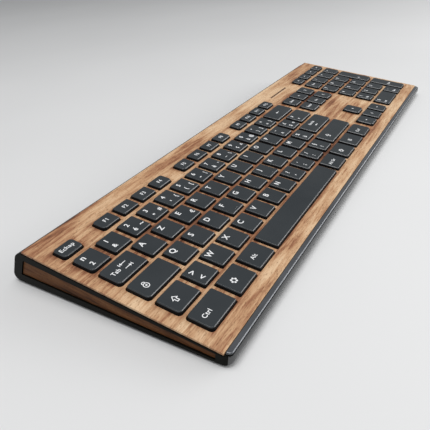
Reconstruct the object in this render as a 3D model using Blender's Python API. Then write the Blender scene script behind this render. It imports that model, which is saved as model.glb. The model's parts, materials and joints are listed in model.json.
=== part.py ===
"""Slim full-size keyboard with a walnut top, as the pieces that it is assembled from.

The pieces are modelled in two frames with the same x axis, which runs along the key rows:
- the deck frame follows the sloping top, with y towards the back, z out of the deck, and its origin at the
  front left corner of the key grid, level with the key tops;
- the base frame is level, with z = 0 at the underside of the case.
Key columns, rows and widths are counted in key pitches.
"""
import math
from collections import namedtuple

import bmesh
import bpy
from mathutils import Matrix

MM = 0.001
GAP = 0.3 * MM                    # between two pieces that touch or fit together

# Key grid
PITCH = 19.0 * MM
KEY_GAP_X = 4.4 * MM              # between the tops of two keys in a row
KEY_GAP_Y = 3.6 * MM              # between the tops of two rows
MAIN_COLUMNS = 15.0
NAVIGATION_COLUMN = 15.25
NUMPAD_COLUMN = 18.5
GRID_COLUMNS = 22.5
MAIN_ROWS = 5
FUNCTION_KEY_DEPTH = 10.2 * MM
FUNCTION_ROW_GAP = 5.0 * MM       # between the number row and the function row
FUNCTION_BANK_STEP = 4.64         # from one group of four function keys to the next

# Keycaps
KEY_RISE = 2.1 * MM               # key top above the wood
KEY_FLARE = 0.33 * MM             # how far the foot of a cap stands out past its top, on each side
KEY_CHAMFER = 0.4 * MM
KEY_WALL = 1.0 * MM
KEY_TOP_WALL = 1.2 * MM
KEY_END_RADIUS = 2.2 * MM         # corners at the outer end of a group of keys
KEY_TRAVEL = 1.8 * MM
LINK_THICKNESS = 0.8 * MM         # bars that join the caps of one bank under the wood
LINK_WIDTH = 5.0 * MM
WINDOW_CLEARANCE = 0.45 * MM

# Layers under the keys
WOOD_THICKNESS = 1.2 * MM
SHELL_TOP_WALL = 1.8 * MM
PRESSED_CLEARANCE = 0.4 * MM      # left under a fully pressed cap
DOME_SHEET_THICKNESS = 0.5 * MM
DOME_BASE_RADIUS = 3.2 * MM
DOME_TOP_RADIUS = 2.0 * MM
MEMBRANE_THICKNESS = 0.4 * MM
PLATE_THICKNESS = 0.8 * MM
PLATE_FLOOR_CLEARANCE = 0.7 * MM  # between the plate and the case floor at the front of the grid
FIELD_MARGIN = 1.0 * MM           # opening in the shell, past the key grid
LAYER_INSET = 0.6 * MM            # layers inside that opening

# Case
DECK_TILT = math.radians(7.0)
SIDE_MARGIN = 6.4 * MM            # wood and case past the key grid, on the left and right
WOOD_FRONT_MARGIN = 9.1 * MM      # wood in front of the key grid
WOOD_BACK_MARGIN = 16.0 * MM      # wood behind the function row
TRIM_WIDTH = 3.2 * MM
TRIM_CHAMFER = 0.6 * MM
TRIM_END_RADIUS = 2.4 * MM
TRIM_END_MARGIN = 1.2 * MM
NOSE_DROP = 0.8 * MM              # crest of the nose under the wood's top
NOSE_REACH = 1.0 * MM             # nose in front of the trim
NOSE_ROOT = 5.9 * MM              # start of the nose's curve behind the trim's front edge
CORNER_RADIUS = 5.0 * MM          # front corners, seen from above
SHOULDER_WIDTH = 5.2 * MM         # back wall behind the wood, at the wood's top
SHOULDER_DROP = 0.8 * MM          # rim behind the wood, under the wood's top
SHOULDER_SLOPE = math.radians(35.0)
SHOULDER_RADIUS = 8.0 * MM
BACK_LEAN = math.radians(18.0)    # back wall from the deck's normal
HEEL_RADIUS = 4.0 * MM
BASE_WALL = 2.0 * MM
FRONT_WALL = 5.1 * MM
BACK_WALL = 3.5 * MM
STATUS_SLOT_LENGTH = 38.0 * MM
STATUS_SLOT_WIDTH = 2.1 * MM
STATUS_FLANGE = 1.2 * MM

# Wooden end inlays
INLAY_TOP_MARGINS = (3.1 * MM, 6.9 * MM)      # case over the inlay, at its front end and back end
INLAY_LOW_MARGINS = (2.1 * MM, 6.3 * MM)      # case under the inlay, at its front end and back end
INLAY_BACK_WALL = 7.2 * MM
INLAY_FRONT_SETBACK = 2.1 * MM
INLAY_POCKET = 3.2 * MM
INLAY_THICKNESS = 2.4 * MM

# Underside
COVER_MARGIN_X = 14.4 * MM        # case around the cover, at the sides
COVER_FRONT = 9.0 * MM
COVER_BACK_INSET = 0.0 * MM        # edges and centres below are measured forward from the wood's back edge
RIB_THICKNESS = 2.0 * MM
RIB_COLUMNS = (3.2, 7.2, 14.8, 20.0)
RIB_FRONT = 12.0 * MM
RIB_BACK_INSET = 34.8 * MM
FOOT_PROUD = 1.1 * MM
FOOT_THICKNESS = 1.5 * MM
FOOT_LENGTH = 34.0 * MM
FOOT_WIDTH = 9.0 * MM
FOOT_INSET_X = 70.0 * MM          # foot centre from the side of the grid
FOOT_FRONT = 20.0 * MM
FOOT_BACK_INSET = 9.8 * MM
LEG_INSET_X = 22.0 * MM
LEG_WIDTH = 24.0 * MM
LEG_LENGTH = 16.0 * MM
LEG_THICKNESS = 3.0 * MM
LEG_BARREL = 4.0 * MM
LEG_PIN = 2.0 * MM
LEG_HINGE_INSET = 5.8 * MM
POCKET_WALL = 1.2 * MM
PIN_LENGTH = 0.8 * MM

# Batteries and their door
BATTERY_DIAMETER = 10.5 * MM
BATTERY_LENGTH = 43.5 * MM
BATTERY_NUB_DIAMETER = 3.6 * MM
BATTERY_NUB_LENGTH = 1.0 * MM
BATTERY_INSET = 17.6 * MM
BAY_END_ROOM = 2.0 * MM           # for a contact at each end
BAY_SIDE_ROOM = 1.75 * MM           # in front of and behind the cells
DOOR_THICKNESS = 1.8 * MM
DOOR_BARREL = 3.0 * MM
DOOR_PIN = 1.4 * MM

# Electronics
BOARD_SIZE = (70.0 * MM, 28.0 * MM, 1.2 * MM)
BOARD_COLUMN = 17.6
BOARD_INSET = 36.8 * MM
BOARD_HEIGHT = 5.0 * MM
POST_SIZE = 4.0 * MM
CHIPS = ((-0.25, 0.1, 12.0 * MM, 12.0 * MM, 1.4 * MM),
         (0.1, -0.2, 6.0 * MM, 6.0 * MM, 1.0 * MM),
         (0.35, 0.15, 10.0 * MM, 14.0 * MM, 2.2 * MM))   # place as a share of the board, then size
SWITCH_KNOB = (5.0 * MM, 4.0 * MM)
SWITCH_TRAVEL = 4.0 * MM
SWITCH_FLANGE = (14.0 * MM, 8.0 * MM, 0.8 * MM)
SWITCH_PROUD = 0.5 * MM
SWITCH_INSET = 6.8 * MM

ROUND_SEGMENTS = 24
SHARP_ANGLE = math.radians(35)
DOME_SEGMENTS = 6

# Heights in the deck frame, from the key tops down
WOOD_TOP = -KEY_RISE
WOOD_BOTTOM = WOOD_TOP - WOOD_THICKNESS
SEAT = WOOD_BOTTOM - GAP
CAVITY_TOP = SEAT - SHELL_TOP_WALL
LINK_TOP = WOOD_BOTTOM - 1.5 * GAP
SKIRT_BOTTOM = LINK_TOP - LINK_THICKNESS - GAP
DOME_SHEET_TOP = SKIRT_BOTTOM - KEY_TRAVEL - PRESSED_CLEARANCE
DOME_SHEET_BOTTOM = DOME_SHEET_TOP - DOME_SHEET_THICKNESS
DOME_TOP = -KEY_TOP_WALL - KEY_TRAVEL - PRESSED_CLEARANCE
MEMBRANE_TOP = DOME_SHEET_BOTTOM - GAP
MEMBRANE_BOTTOM = MEMBRANE_TOP - MEMBRANE_THICKNESS
PLATE_TOP = MEMBRANE_BOTTOM - GAP
PLATE_BOTTOM = PLATE_TOP - PLATE_THICKNESS

# Lengths along and across the deck
GRID_LENGTH = GRID_COLUMNS * PITCH
CASE_LEFT = -SIDE_MARGIN
CASE_RIGHT = GRID_LENGTH + SIDE_MARGIN
FUNCTION_FRONT = MAIN_ROWS * PITCH - KEY_GAP_Y / 2 + FUNCTION_ROW_GAP
FUNCTION_BACK = FUNCTION_FRONT + FUNCTION_KEY_DEPTH
WOOD_FRONT = -WOOD_FRONT_MARGIN
WOOD_BACK = FUNCTION_BACK + WOOD_BACK_MARGIN
TRIM_BACK = WOOD_FRONT - GAP
TRIM_FRONT = TRIM_BACK - TRIM_WIDTH
FIELD_BACK = FUNCTION_BACK + 2 * FIELD_MARGIN

# Places on the underside, in the base frame
BACK_LINE = WOOD_BACK * math.cos(DECK_TILT)
COVER_BACK = BACK_LINE - COVER_BACK_INSET
RIB_BACK = BACK_LINE - RIB_BACK_INSET
FOOT_BACK = BACK_LINE - FOOT_BACK_INSET
LEG_HINGE_Y = BACK_LINE - LEG_HINGE_INSET
BATTERY_Y = BACK_LINE - BATTERY_INSET
BOARD_Y = BACK_LINE - BOARD_INSET
SWITCH_Y = BACK_LINE - SWITCH_INSET
BAY_DEPTH = BATTERY_DIAMETER + 2 * BAY_SIDE_ROOM
BAY_FRONT = BATTERY_Y - BAY_DEPTH / 2
BAY_ROOF = DOOR_THICKNESS + BATTERY_DIAMETER + 2 * GAP

# From the key tops down to the underside at the front of the grid: the floor clears the key plate there, and
# the plate clears the roof of the battery bay further back
FLOOR_DROP = -PLATE_BOTTOM + PLATE_FLOOR_CLEARANCE + BASE_WALL
BAY_RISE = BAY_ROOF + POCKET_WALL + GAP - (BAY_FRONT - POCKET_WALL) * math.tan(DECK_TILT)
BAY_DROP = (BAY_RISE - PLATE_BOTTOM / math.cos(DECK_TILT)) / math.cos(DECK_TILT)
FRONT_DROP = max(FLOOR_DROP, BAY_DROP)

Key = namedtuple("Key", "column row width height")
FUNCTION_ROW = "function"

# Every moving cap or bank of caps: name, first column, row, key widths, rows in the bank, key height
KEY_NODES = (
    ("key_escape", 0.0, FUNCTION_ROW, (1,), 1, 1),
    ("keys_f1_f4", MAIN_COLUMNS - 4 - 2 * FUNCTION_BANK_STEP, FUNCTION_ROW, (1,) * 4, 1, 1),
    ("keys_f5_f8", MAIN_COLUMNS - 4 - FUNCTION_BANK_STEP, FUNCTION_ROW, (1,) * 4, 1, 1),
    ("keys_f9_f12", MAIN_COLUMNS - 4, FUNCTION_ROW, (1,) * 4, 1, 1),
    ("keys_media", NUMPAD_COLUMN, FUNCTION_ROW, (1,) * 4, 1, 1),
    ("keys_numbers_left", 0.0, 4, (1,) * 7, 1, 1),
    ("keys_numbers_right", 7.0, 4, (1,) * 6, 1, 1),
    ("key_backspace", 13.0, 4, (2,), 1, 1),
    ("key_tab", 0.0, 3, (1.5,), 1, 1),
    ("keys_letters_top_left", 1.5, 3, (1,) * 6, 1, 1),
    ("keys_letters_top_right", 7.5, 3, (1,) * 6, 1, 1),
    ("key_asterisk", 13.5, 3, (1.5,), 1, 1),
    ("key_caps_lock", 0.0, 2, (1.75,), 1, 1),
    ("keys_letters_home_left", 1.75, 2, (1,) * 6, 1, 1),
    ("keys_letters_home_right", 7.75, 2, (1,) * 5, 1, 1),
    ("key_enter", 12.75, 2, (2.25,), 1, 1),
    ("key_left_shift", 0.0, 1, (1.25,), 1, 1),
    ("keys_letters_low_left", 1.25, 1, (1,) * 6, 1, 1),
    ("keys_letters_low_right", 7.25, 1, (1,) * 5, 1, 1),
    ("key_right_shift", 12.25, 1, (2.75,), 1, 1),
    ("key_left_ctrl", 0.0, 0, (1.5,), 1, 1),
    ("key_left_system", 1.5, 0, (1.25,), 1, 1),
    ("key_left_alt", 2.75, 0, (1.25,), 1, 1),
    ("key_space", 4.0, 0, (6,), 1, 1),
    ("key_right_alt", 10.0, 0, (1.25,), 1, 1),
    ("key_right_system", 11.25, 0, (1.25,), 1, 1),
    ("key_menu", 12.5, 0, (1.25,), 1, 1),
    ("key_right_ctrl", 13.75, 0, (1.25,), 1, 1),
    ("key_arrow_up", NAVIGATION_COLUMN + 1, 1, (1,), 1, 1),
    ("key_arrow_left", NAVIGATION_COLUMN, 0, (1,), 1, 1),
    ("key_arrow_down", NAVIGATION_COLUMN + 1, 0, (1,), 1, 1),
    ("key_arrow_right", NAVIGATION_COLUMN + 2, 0, (1,), 1, 1),
    ("keys_navigation", NAVIGATION_COLUMN, 3, (1,) * 3, 2, 1),
    ("keys_numpad_top", NUMPAD_COLUMN, 4, (1,) * 4, 1, 1),
    ("keys_numpad_digits", NUMPAD_COLUMN, 1, (1,) * 3, 3, 1),
    ("key_numpad_zero", NUMPAD_COLUMN, 0, (2,), 1, 1),
    ("key_numpad_decimal", NUMPAD_COLUMN + 2, 0, (1,), 1, 1),
    ("key_numpad_plus", NUMPAD_COLUMN + 3, 2, (1,), 1, 2),
    ("key_numpad_enter", NUMPAD_COLUMN + 3, 0, (1,), 1, 2),
)

# Base colour, metallic, roughness
KEY_GREY = ((0.045, 0.047, 0.052), 0.0, 0.55)
WALNUT = ((0.55, 0.30, 0.16), 0.0, 0.5)
DARK_WALNUT = ((0.12, 0.055, 0.028), 0.0, 0.55)
CHARCOAL = ((0.022, 0.023, 0.022), 0.0, 0.45)
GLOSS_GREY = ((0.10, 0.11, 0.125), 0.6, 0.25)
STEEL = ((0.55, 0.56, 0.57), 1.0, 0.35)
CLEAR_FILM = ((0.60, 0.66, 0.62), 0.0, 0.3)
SILICONE = ((0.72, 0.73, 0.74), 0.0, 0.6)
BOARD_GREEN = ((0.03, 0.16, 0.07), 0.0, 0.4)
BATTERY_GREY = ((0.25, 0.25, 0.27), 0.8, 0.35)
RUBBER = ((0.02, 0.02, 0.02), 0.0, 0.9)
SMOKED_WINDOW = ((0.03, 0.018, 0.012), 0.0, 0.15)


# ---- scene and helpers -------------------------------------------------------------------------------------

def clear_scene():
    for obj in list(bpy.data.objects):
        bpy.data.objects.remove(obj, do_unlink=True)


def new_collection(name):
    collection = bpy.data.collections.new(name)
    bpy.context.scene.collection.children.link(collection)
    return collection


def new_empty(name, location, tilt, parent=None):
    empty = bpy.data.objects.new(name, None)
    empty.location = location
    empty.rotation_euler = (tilt, 0, 0)
    empty.parent = parent
    PARTS.objects.link(empty)
    return empty


def place(obj, frame, location=(0, 0, 0)):
    obj.parent = frame
    obj.location = location
    return obj


def add_part(name, mesh, finish, frame, location=(0, 0, 0)):
    obj = bpy.data.objects.new(name, mesh)
    PARTS.objects.link(obj)
    colour, metallic, roughness = finish
    material = bpy.data.materials.new(name)
    material.use_nodes = True
    shader = material.node_tree.nodes["Principled BSDF"]
    shader.inputs["Base Color"].default_value = (*colour, 1.0)
    shader.inputs["Metallic"].default_value = metallic
    shader.inputs["Roughness"].default_value = roughness
    mesh.materials.append(material)
    return place(obj, frame, location)


def add_tool(name, mesh, frame, location=(0, 0, 0)):
    """A body that only cuts or joins another one."""
    obj = bpy.data.objects.new(name, mesh)
    TOOLS.objects.link(obj)
    obj.hide_render = True
    obj.display_type = "WIRE"
    return place(obj, frame, location)


def combine(obj, operation, tool):
    modifier = obj.modifiers.new(tool.name, "BOOLEAN")
    modifier.operation = operation
    modifier.solver = "EXACT"
    modifier.object = tool


def mesh_from(bm, name):
    bmesh.ops.recalc_face_normals(bm, faces=bm.faces)
    mesh = bpy.data.meshes.new(name)
    bm.to_mesh(mesh)
    bm.free()
    mesh.shade_smooth()
    mesh.set_sharp_from_angle(angle=SHARP_ANGLE)
    return mesh


def box_mesh(name, boxes):
    """One mesh of separate boxes, each given as its low corner and its high corner."""
    bm = bmesh.new()
    for low, high in boxes:
        size = [b - a for a, b in zip(low, high)]
        centre = [(a + b) / 2 for a, b in zip(low, high)]
        matrix = Matrix.Translation(centre) @ Matrix.Diagonal((*size, 1.0))
        bmesh.ops.create_cube(bm, size=1.0, matrix=matrix)
    return mesh_from(bm, name)


def rod_mesh(name, rods):
    """One mesh of separate round rods along x, each given as its centre, diameter and length."""
    bm = bmesh.new()
    for centre, diameter, length in rods:
        matrix = Matrix.Translation(centre) @ Matrix.Rotation(math.pi / 2, 4, "Y")
        bmesh.ops.create_cone(bm, cap_ends=True, segments=ROUND_SEGMENTS, radius1=diameter / 2,
                              radius2=diameter / 2, depth=length, matrix=matrix)
    return mesh_from(bm, name)


def outline_mesh(name, loops, thickness, to_profile=False):
    """A flat slab from closed outlines, centred on its plane: the first is its edge, the others are holes.

    The outlines lie in the x-y plane, or in the y-z plane with to_profile.
    """
    curve = bpy.data.curves.new(name, "CURVE")
    curve.dimensions = "2D"
    curve.fill_mode = "BOTH"
    curve.extrude = thickness / 2
    for loop in loops:
        spline = curve.splines.new("POLY")
        spline.points.add(len(loop) - 1)
        for point, (u, v) in zip(spline.points, loop):
            point.co = (u, v, 0, 1)
        spline.use_cyclic_u = True
    source = bpy.data.objects.new(name, curve)
    TOOLS.objects.link(source)
    mesh = bpy.data.meshes.new_from_object(source.evaluated_get(bpy.context.evaluated_depsgraph_get()))
    bpy.data.objects.remove(source)
    bm = bmesh.new()
    bm.from_mesh(mesh)
    bmesh.ops.remove_doubles(bm, verts=bm.verts, dist=1e-6)
    bpy.data.meshes.remove(mesh)
    slab = mesh_from(bm, name)
    if to_profile:
        slab.transform(Matrix(((0, 0, 1, 0), (1, 0, 0, 0), (0, 1, 0, 0), (0, 0, 0, 1))))
    return slab


def rectangle(x0, x1, y0, y1, left_radius=0.0, right_radius=0.0, steps=3):
    """A rectangle's outline, with its own corner radius at the left end and at the right end."""
    corners = ((x0, y0, left_radius, 180), (x1, y0, right_radius, 270),
               (x1, y1, right_radius, 0), (x0, y1, left_radius, 90))
    points = []
    for x, y, radius, start in corners:
        if radius == 0:
            points.append((x, y))
            continue
        centre_x = x + radius * (1 if x == x0 else -1)
        centre_y = y + radius * (1 if y == y0 else -1)
        points += arc(centre_x, centre_y, radius, radius, start, start + 90, steps)
    return points


def arc(centre_x, centre_y, radius_x, radius_y, start, end, steps):
    """Points along an arc of a circle or ellipse, in degrees."""
    angles = [math.radians(start + (end - start) * i / steps) for i in range(steps + 1)]
    return [(centre_x + radius_x * math.cos(a), centre_y + radius_y * math.sin(a)) for a in angles]


def fillet(before, corner, after, radius, steps):
    """Points of a round corner between the lines corner-before and corner-after."""
    to_before = unit(before[0] - corner[0], before[1] - corner[1])
    to_after = unit(after[0] - corner[0], after[1] - corner[1])
    half = math.acos(to_before[0] * to_after[0] + to_before[1] * to_after[1]) / 2
    middle = unit(to_before[0] + to_after[0], to_before[1] + to_after[1])
    centre = (corner[0] + middle[0] * radius / math.sin(half), corner[1] + middle[1] * radius / math.sin(half))
    reach = radius / math.tan(half)
    first = (corner[0] + to_before[0] * reach - centre[0], corner[1] + to_before[1] * reach - centre[1])
    side = to_before[1] * to_after[0] - to_before[0] * to_after[1]
    turn = math.copysign(math.pi - 2 * half, side)
    points = []
    for i in range(steps + 1):
        angle = turn * i / steps
        points.append((centre[0] + first[0] * math.cos(angle) - first[1] * math.sin(angle),
                       centre[1] + first[0] * math.sin(angle) + first[1] * math.cos(angle)))
    return points


def unit(u, v):
    length = math.hypot(u, v)
    return (u / length, v / length)


def inset(points, distance):
    """A convex outline, given counter-clockwise, moved in by a distance on every side."""
    result = []
    for i, corner in enumerate(points):
        before = unit(corner[0] - points[i - 1][0], corner[1] - points[i - 1][1])
        following = points[(i + 1) % len(points)]
        after = unit(following[0] - corner[0], following[1] - corner[1])
        cross = before[0] * after[1] - before[1] * after[0]
        result.append((corner[0] + distance * (after[0] - before[0]) / cross,
                       corner[1] + distance * (after[1] - before[1]) / cross))
    return result


# ---- places that several pieces share ----------------------------------------------------------------------

def underside(y):
    """Height of the case's underside in the deck frame."""
    return -FRONT_DROP - y * math.tan(DECK_TILT)


def back_wall(z):
    """The back wall's outer face in the deck frame."""
    return WOOD_BACK + GAP + SHOULDER_WIDTH + (WOOD_TOP - GAP - z) * math.tan(BACK_LEAN)


def heel():
    """Where the lines of the back wall and the underside meet."""
    lean = math.tan(BACK_LEAN)
    z = (-FRONT_DROP - back_wall(0) * math.tan(DECK_TILT)) / (1 - lean * math.tan(DECK_TILT))
    return (back_wall(z), z)


def shoulder():
    """Where the sloping rim behind the wood meets the line of the back wall."""
    slope, lean = math.tan(SHOULDER_SLOPE), math.tan(BACK_LEAN)
    z = (WOOD_TOP - SHOULDER_DROP - (back_wall(0) - WOOD_BACK - GAP) * slope) / (1 - lean * slope)
    return (back_wall(z), z)


def case_outline():
    """The case seen from its left end, counter-clockwise from the back of the seat, in the deck frame."""
    seat_back = WOOD_BACK + GAP
    rim = (seat_back, WOOD_TOP - SHOULDER_DROP)
    seat_front = TRIM_FRONT - GAP
    nose_y = seat_front + NOSE_ROOT
    nose_radius = NOSE_ROOT + NOSE_REACH
    start_angle = math.degrees(math.acos(NOSE_ROOT / nose_radius))
    crest = WOOD_TOP - NOSE_DROP
    nose_height = (crest - underside(nose_y)) / (1 + math.sin(math.radians(start_angle)))
    nose_z = underside(nose_y) + nose_height
    nose = arc(nose_y, nose_z, nose_radius, nose_height, 180 - start_angle, 270, 9)
    heel_curve = fillet(nose[-1], heel(), shoulder(), HEEL_RADIUS, 4)
    shoulder_curve = fillet(heel(), shoulder(), rim, shoulder_radius(), 5)
    return [(seat_back, SEAT), (seat_front, SEAT)] + nose + heel_curve + shoulder_curve + [rim]


def shoulder_radius():
    """The shoulder's radius, held inside the sloping rim behind the wood."""
    rim_width = (shoulder()[0] - WOOD_BACK - GAP) / math.cos(SHOULDER_SLOPE)
    limit = rim_width / math.tan((math.pi / 2 - BACK_LEAN - SHOULDER_SLOPE) / 2)
    return min(SHOULDER_RADIUS, 0.95 * limit)


def cavity_outline():
    """The hollow of the case in the deck frame, counter-clockwise."""
    front = TRIM_FRONT - GAP + NOSE_ROOT + FRONT_WALL - 2 * FIELD_MARGIN
    floor = BASE_WALL / math.cos(DECK_TILT)
    knee = (back_wall(CAVITY_TOP) - 2 * BACK_WALL, CAVITY_TOP)
    wall_top = CAVITY_TOP - BACK_WALL
    low = heel()[1] + 2 * BACK_WALL
    return [(front, underside(front) + floor), (back_wall(low) - BACK_WALL, underside(back_wall(low)) + floor),
            (back_wall(wall_top) - BACK_WALL, wall_top), knee, (front, CAVITY_TOP)]


def inlay_outline():
    """The opening for a wooden inlay in the end of the case, counter-clockwise, in the deck frame."""
    front = TRIM_FRONT - GAP + NOSE_ROOT + INLAY_FRONT_SETBACK
    top_back = WOOD_TOP - INLAY_TOP_MARGINS[1]
    y_top = back_wall(top_back) - INLAY_BACK_WALL
    y_low = heel()[0] - 1.3 * INLAY_BACK_WALL
    return [(front, underside(front) + INLAY_LOW_MARGINS[0]), (y_low, underside(y_low) + INLAY_LOW_MARGINS[1]),
            (y_top, top_back), (front, WOOD_TOP - INLAY_TOP_MARGINS[0])]


def to_base(y, z):
    """A point of the deck frame in the base frame."""
    return (y * math.cos(DECK_TILT) - z * math.sin(DECK_TILT),
            y * math.sin(DECK_TILT) + z * math.cos(DECK_TILT) + FRONT_DROP * math.cos(DECK_TILT))


def base_centre_y():
    """Halfway between the front and the back of the case, in the base frame."""
    ys = [to_base(y, z)[0] for y, z in case_outline()]
    return (min(ys) + max(ys)) / 2


def side_places(inset_x):
    """The same distance in from the left and from the right side of the grid."""
    return (("left", inset_x), ("right", GRID_LENGTH - inset_x))


# ---- keys --------------------------------------------------------------------------------------------------

def bank_keys(column, row, widths, rows, height):
    keys = []
    for level in range(rows):
        x = column
        for width in widths:
            keys.append(Key(x, row if row == FUNCTION_ROW else row + level, width, height))
            x += width
    return keys


def all_keys():
    return [key for _, *bank in KEY_NODES for key in bank_keys(*bank)]


def key_top(key):
    """The top face of a key in the deck frame: x0, x1, y0, y1."""
    x0 = key.column * PITCH + KEY_GAP_X / 2
    x1 = (key.column + key.width) * PITCH - KEY_GAP_X / 2
    if key.row == FUNCTION_ROW:
        return x0, x1, FUNCTION_FRONT, FUNCTION_BACK
    return x0, x1, key.row * PITCH + KEY_GAP_Y / 2, (key.row + key.height) * PITCH - KEY_GAP_Y / 2


def end_radii(key):
    """Corner radii at the left and right end: round where no other key follows in the row."""
    row = [other for other in all_keys() if other.row == key.row]
    starts = [other.column for other in row]
    ends = [other.column + other.width for other in row]
    left = 0.0 if any(abs(end - key.column) < 0.01 for end in ends) else KEY_END_RADIUS
    right = 0.0 if any(abs(start - key.column - key.width) < 0.01 for start in starts) else KEY_END_RADIUS
    return left, right


def window_outline(key):
    x0, x1, y0, y1 = key_top(key)
    left, right = end_radii(key)
    reach = KEY_FLARE + WINDOW_CLEARANCE
    return rectangle(x0 - reach, x1 + reach, y0 - reach, y1 + reach, left, right)


def keycap(key):
    """A cap as a closed bmesh: spread sides, chamfered top and a hollow that is open underneath."""
    x0, x1, y0, y1 = key_top(key)
    left, right = end_radii(key)
    bm = bmesh.new()
    bmesh.ops.create_cube(bm, size=1.0)
    for vert in bm.verts:
        spread = KEY_FLARE if vert.co.z < 0 else 0.0
        vert.co.x = x1 + spread if vert.co.x > 0 else x0 - spread
        vert.co.y = y1 + spread if vert.co.y > 0 else y0 - spread
        vert.co.z = SKIRT_BOTTOM if vert.co.z < 0 else 0.0
    uprights = [edge for edge in bm.edges if abs(edge.verts[0].co.z - edge.verts[1].co.z) > KEY_RISE]
    for radius, side in ((left, x0), (right, x1)):
        chosen = [edge for edge in uprights if edge.is_valid and abs(edge.verts[0].co.x - side) < KEY_WALL]
        if radius > 0:
            bmesh.ops.bevel(bm, geom=chosen, offset=radius, offset_type="OFFSET", segments=3,
                            profile=0.5, affect="EDGES")
    top = [face for face in bm.faces if face.calc_center_median().z > -KEY_CHAMFER]
    rim = [edge for edge in top[0].edges]
    bmesh.ops.bevel(bm, geom=rim, offset=KEY_CHAMFER, offset_type="OFFSET", segments=1, affect="EDGES")
    bm.normal_update()
    foot = [face for face in bm.faces if face.calc_center_median().z < SKIRT_BOTTOM + KEY_CHAMFER]
    bmesh.ops.inset_region(bm, faces=foot, thickness=KEY_WALL)
    hollow = bmesh.ops.extrude_face_region(bm, geom=foot)
    bmesh.ops.delete(bm, geom=foot, context="FACES_ONLY")
    raised = [item for item in hollow["geom"] if isinstance(item, bmesh.types.BMVert)]
    bmesh.ops.translate(bm, vec=(0, 0, -KEY_TOP_WALL - SKIRT_BOTTOM), verts=raised)
    return bm


def link_boxes(keys):
    """Bars between neighbouring caps of a bank, under the wood."""
    low = SKIRT_BOTTOM + GAP
    high = low + LINK_THICKNESS
    reach_x = (KEY_GAP_X + KEY_WALL) / 2 - KEY_FLARE
    reach_y = (KEY_GAP_Y + KEY_WALL) / 2 - KEY_FLARE
    boxes = []
    for key in keys:
        x0, x1, y0, y1 = key_top(key)
        edge_x = x1 + KEY_GAP_X / 2
        edge_y = y1 + KEY_GAP_Y / 2
        if any(k.row == key.row and abs(k.column - key.column - key.width) < 0.01 for k in keys):
            middle = (y0 + y1) / 2
            boxes.append(((edge_x - reach_x, middle - LINK_WIDTH / 2, low),
                          (edge_x + reach_x, middle + LINK_WIDTH / 2, high)))
        if key.column == keys[0].column and key.row != keys[-1].row:
            middle = (x0 + x1) / 2
            boxes.append(((middle - LINK_WIDTH / 2, edge_y - reach_y, low),
                          (middle + LINK_WIDTH / 2, edge_y + reach_y, high)))
    return boxes


def add_keys(name, *bank):
    keys = bank_keys(*bank)
    joined = bmesh.new()
    for key in keys:
        piece = mesh_from(keycap(key), name)
        joined.from_mesh(piece)
        bpy.data.meshes.remove(piece)
    spots = [key_top(key) for key in keys]
    centre_x = (min(s[0] for s in spots) + max(s[1] for s in spots)) / 2
    centre_y = (min(s[2] for s in spots) + max(s[3] for s in spots)) / 2
    mesh = mesh_from(joined, name)
    to_centre = Matrix.Translation((-centre_x, -centre_y, 0))
    mesh.transform(to_centre)
    obj = add_part(name, mesh, KEY_GREY, DECK, (centre_x, centre_y, 0))
    boxes = link_boxes(keys)
    if boxes:
        links = box_mesh(name + "_links", boxes)
        links.transform(to_centre)
        combine(obj, "UNION", add_tool(name + "_links", links, DECK, (centre_x, centre_y, 0)))


# ---- deck and the layers under it --------------------------------------------------------------------------

def status_slot(reach, width_reach):
    """The outline of the status light's slot, grown by the given amounts."""
    centre_x = (NAVIGATION_COLUMN + 1.5) * PITCH
    half = STATUS_SLOT_LENGTH / 2 + reach
    half_width = STATUS_SLOT_WIDTH / 2 + width_reach
    return rectangle(centre_x - half, centre_x + half, FUNCTION_BACK - half_width, FUNCTION_BACK + half_width)


def add_slab(name, loops, low, high, finish, frame):
    mesh = outline_mesh(name, loops, high - low)
    return add_part(name, mesh, finish, frame, (0, 0, (low + high) / 2))


def add_wood_top():
    edge = rectangle(CASE_LEFT, CASE_RIGHT, WOOD_FRONT, WOOD_BACK)
    windows = [window_outline(key) for key in all_keys()]
    add_slab("wood_top_panel", [edge, *windows, status_slot(0, 0)], WOOD_BOTTOM, WOOD_TOP, WALNUT, DECK)


def add_status_window():
    bar_top = WOOD_TOP - GAP
    flange_top = WOOD_BOTTOM - GAP
    flange_bottom = flange_top - STATUS_FLANGE
    low, high = status_slot(-GAP, -GAP)[0], status_slot(-GAP, -GAP)[2]
    flange = add_slab("status_window", [status_slot(STATUS_FLANGE, 2 * GAP)], flange_bottom, flange_top,
                      SMOKED_WINDOW, DECK)
    bar = box_mesh("status_bar", [((*low, flange_bottom + GAP), (*high, bar_top))])
    combine(flange, "UNION", add_tool("status_bar", bar, DECK))


def layer_edge():
    margin = FIELD_MARGIN - LAYER_INSET
    return rectangle(-margin, GRID_LENGTH + margin, -margin, FIELD_BACK - LAYER_INSET)


def add_dome_sheet():
    sheet = add_slab("dome_sheet", [layer_edge()], DOME_SHEET_BOTTOM, DOME_SHEET_TOP, SILICONE, DECK)
    low = DOME_SHEET_TOP - DOME_SHEET_THICKNESS / 2
    bm = bmesh.new()
    for key in all_keys():
        x0, x1, y0, y1 = key_top(key)
        matrix = Matrix.Translation(((x0 + x1) / 2, (y0 + y1) / 2, (low + DOME_TOP) / 2))
        bmesh.ops.create_cone(bm, cap_ends=True, segments=DOME_SEGMENTS, radius1=DOME_BASE_RADIUS,
                              radius2=DOME_TOP_RADIUS, depth=DOME_TOP - low, matrix=matrix)
    combine(sheet, "UNION", add_tool("domes", mesh_from(bm, "domes"), DECK))


def add_membrane():
    add_slab("circuit_membrane", [layer_edge()], MEMBRANE_BOTTOM, MEMBRANE_TOP, CLEAR_FILM, DECK)


def add_key_plate():
    add_slab("key_plate", [layer_edge()], PLATE_BOTTOM, PLATE_TOP, STEEL, DECK)


# ---- case --------------------------------------------------------------------------------------------------

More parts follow.
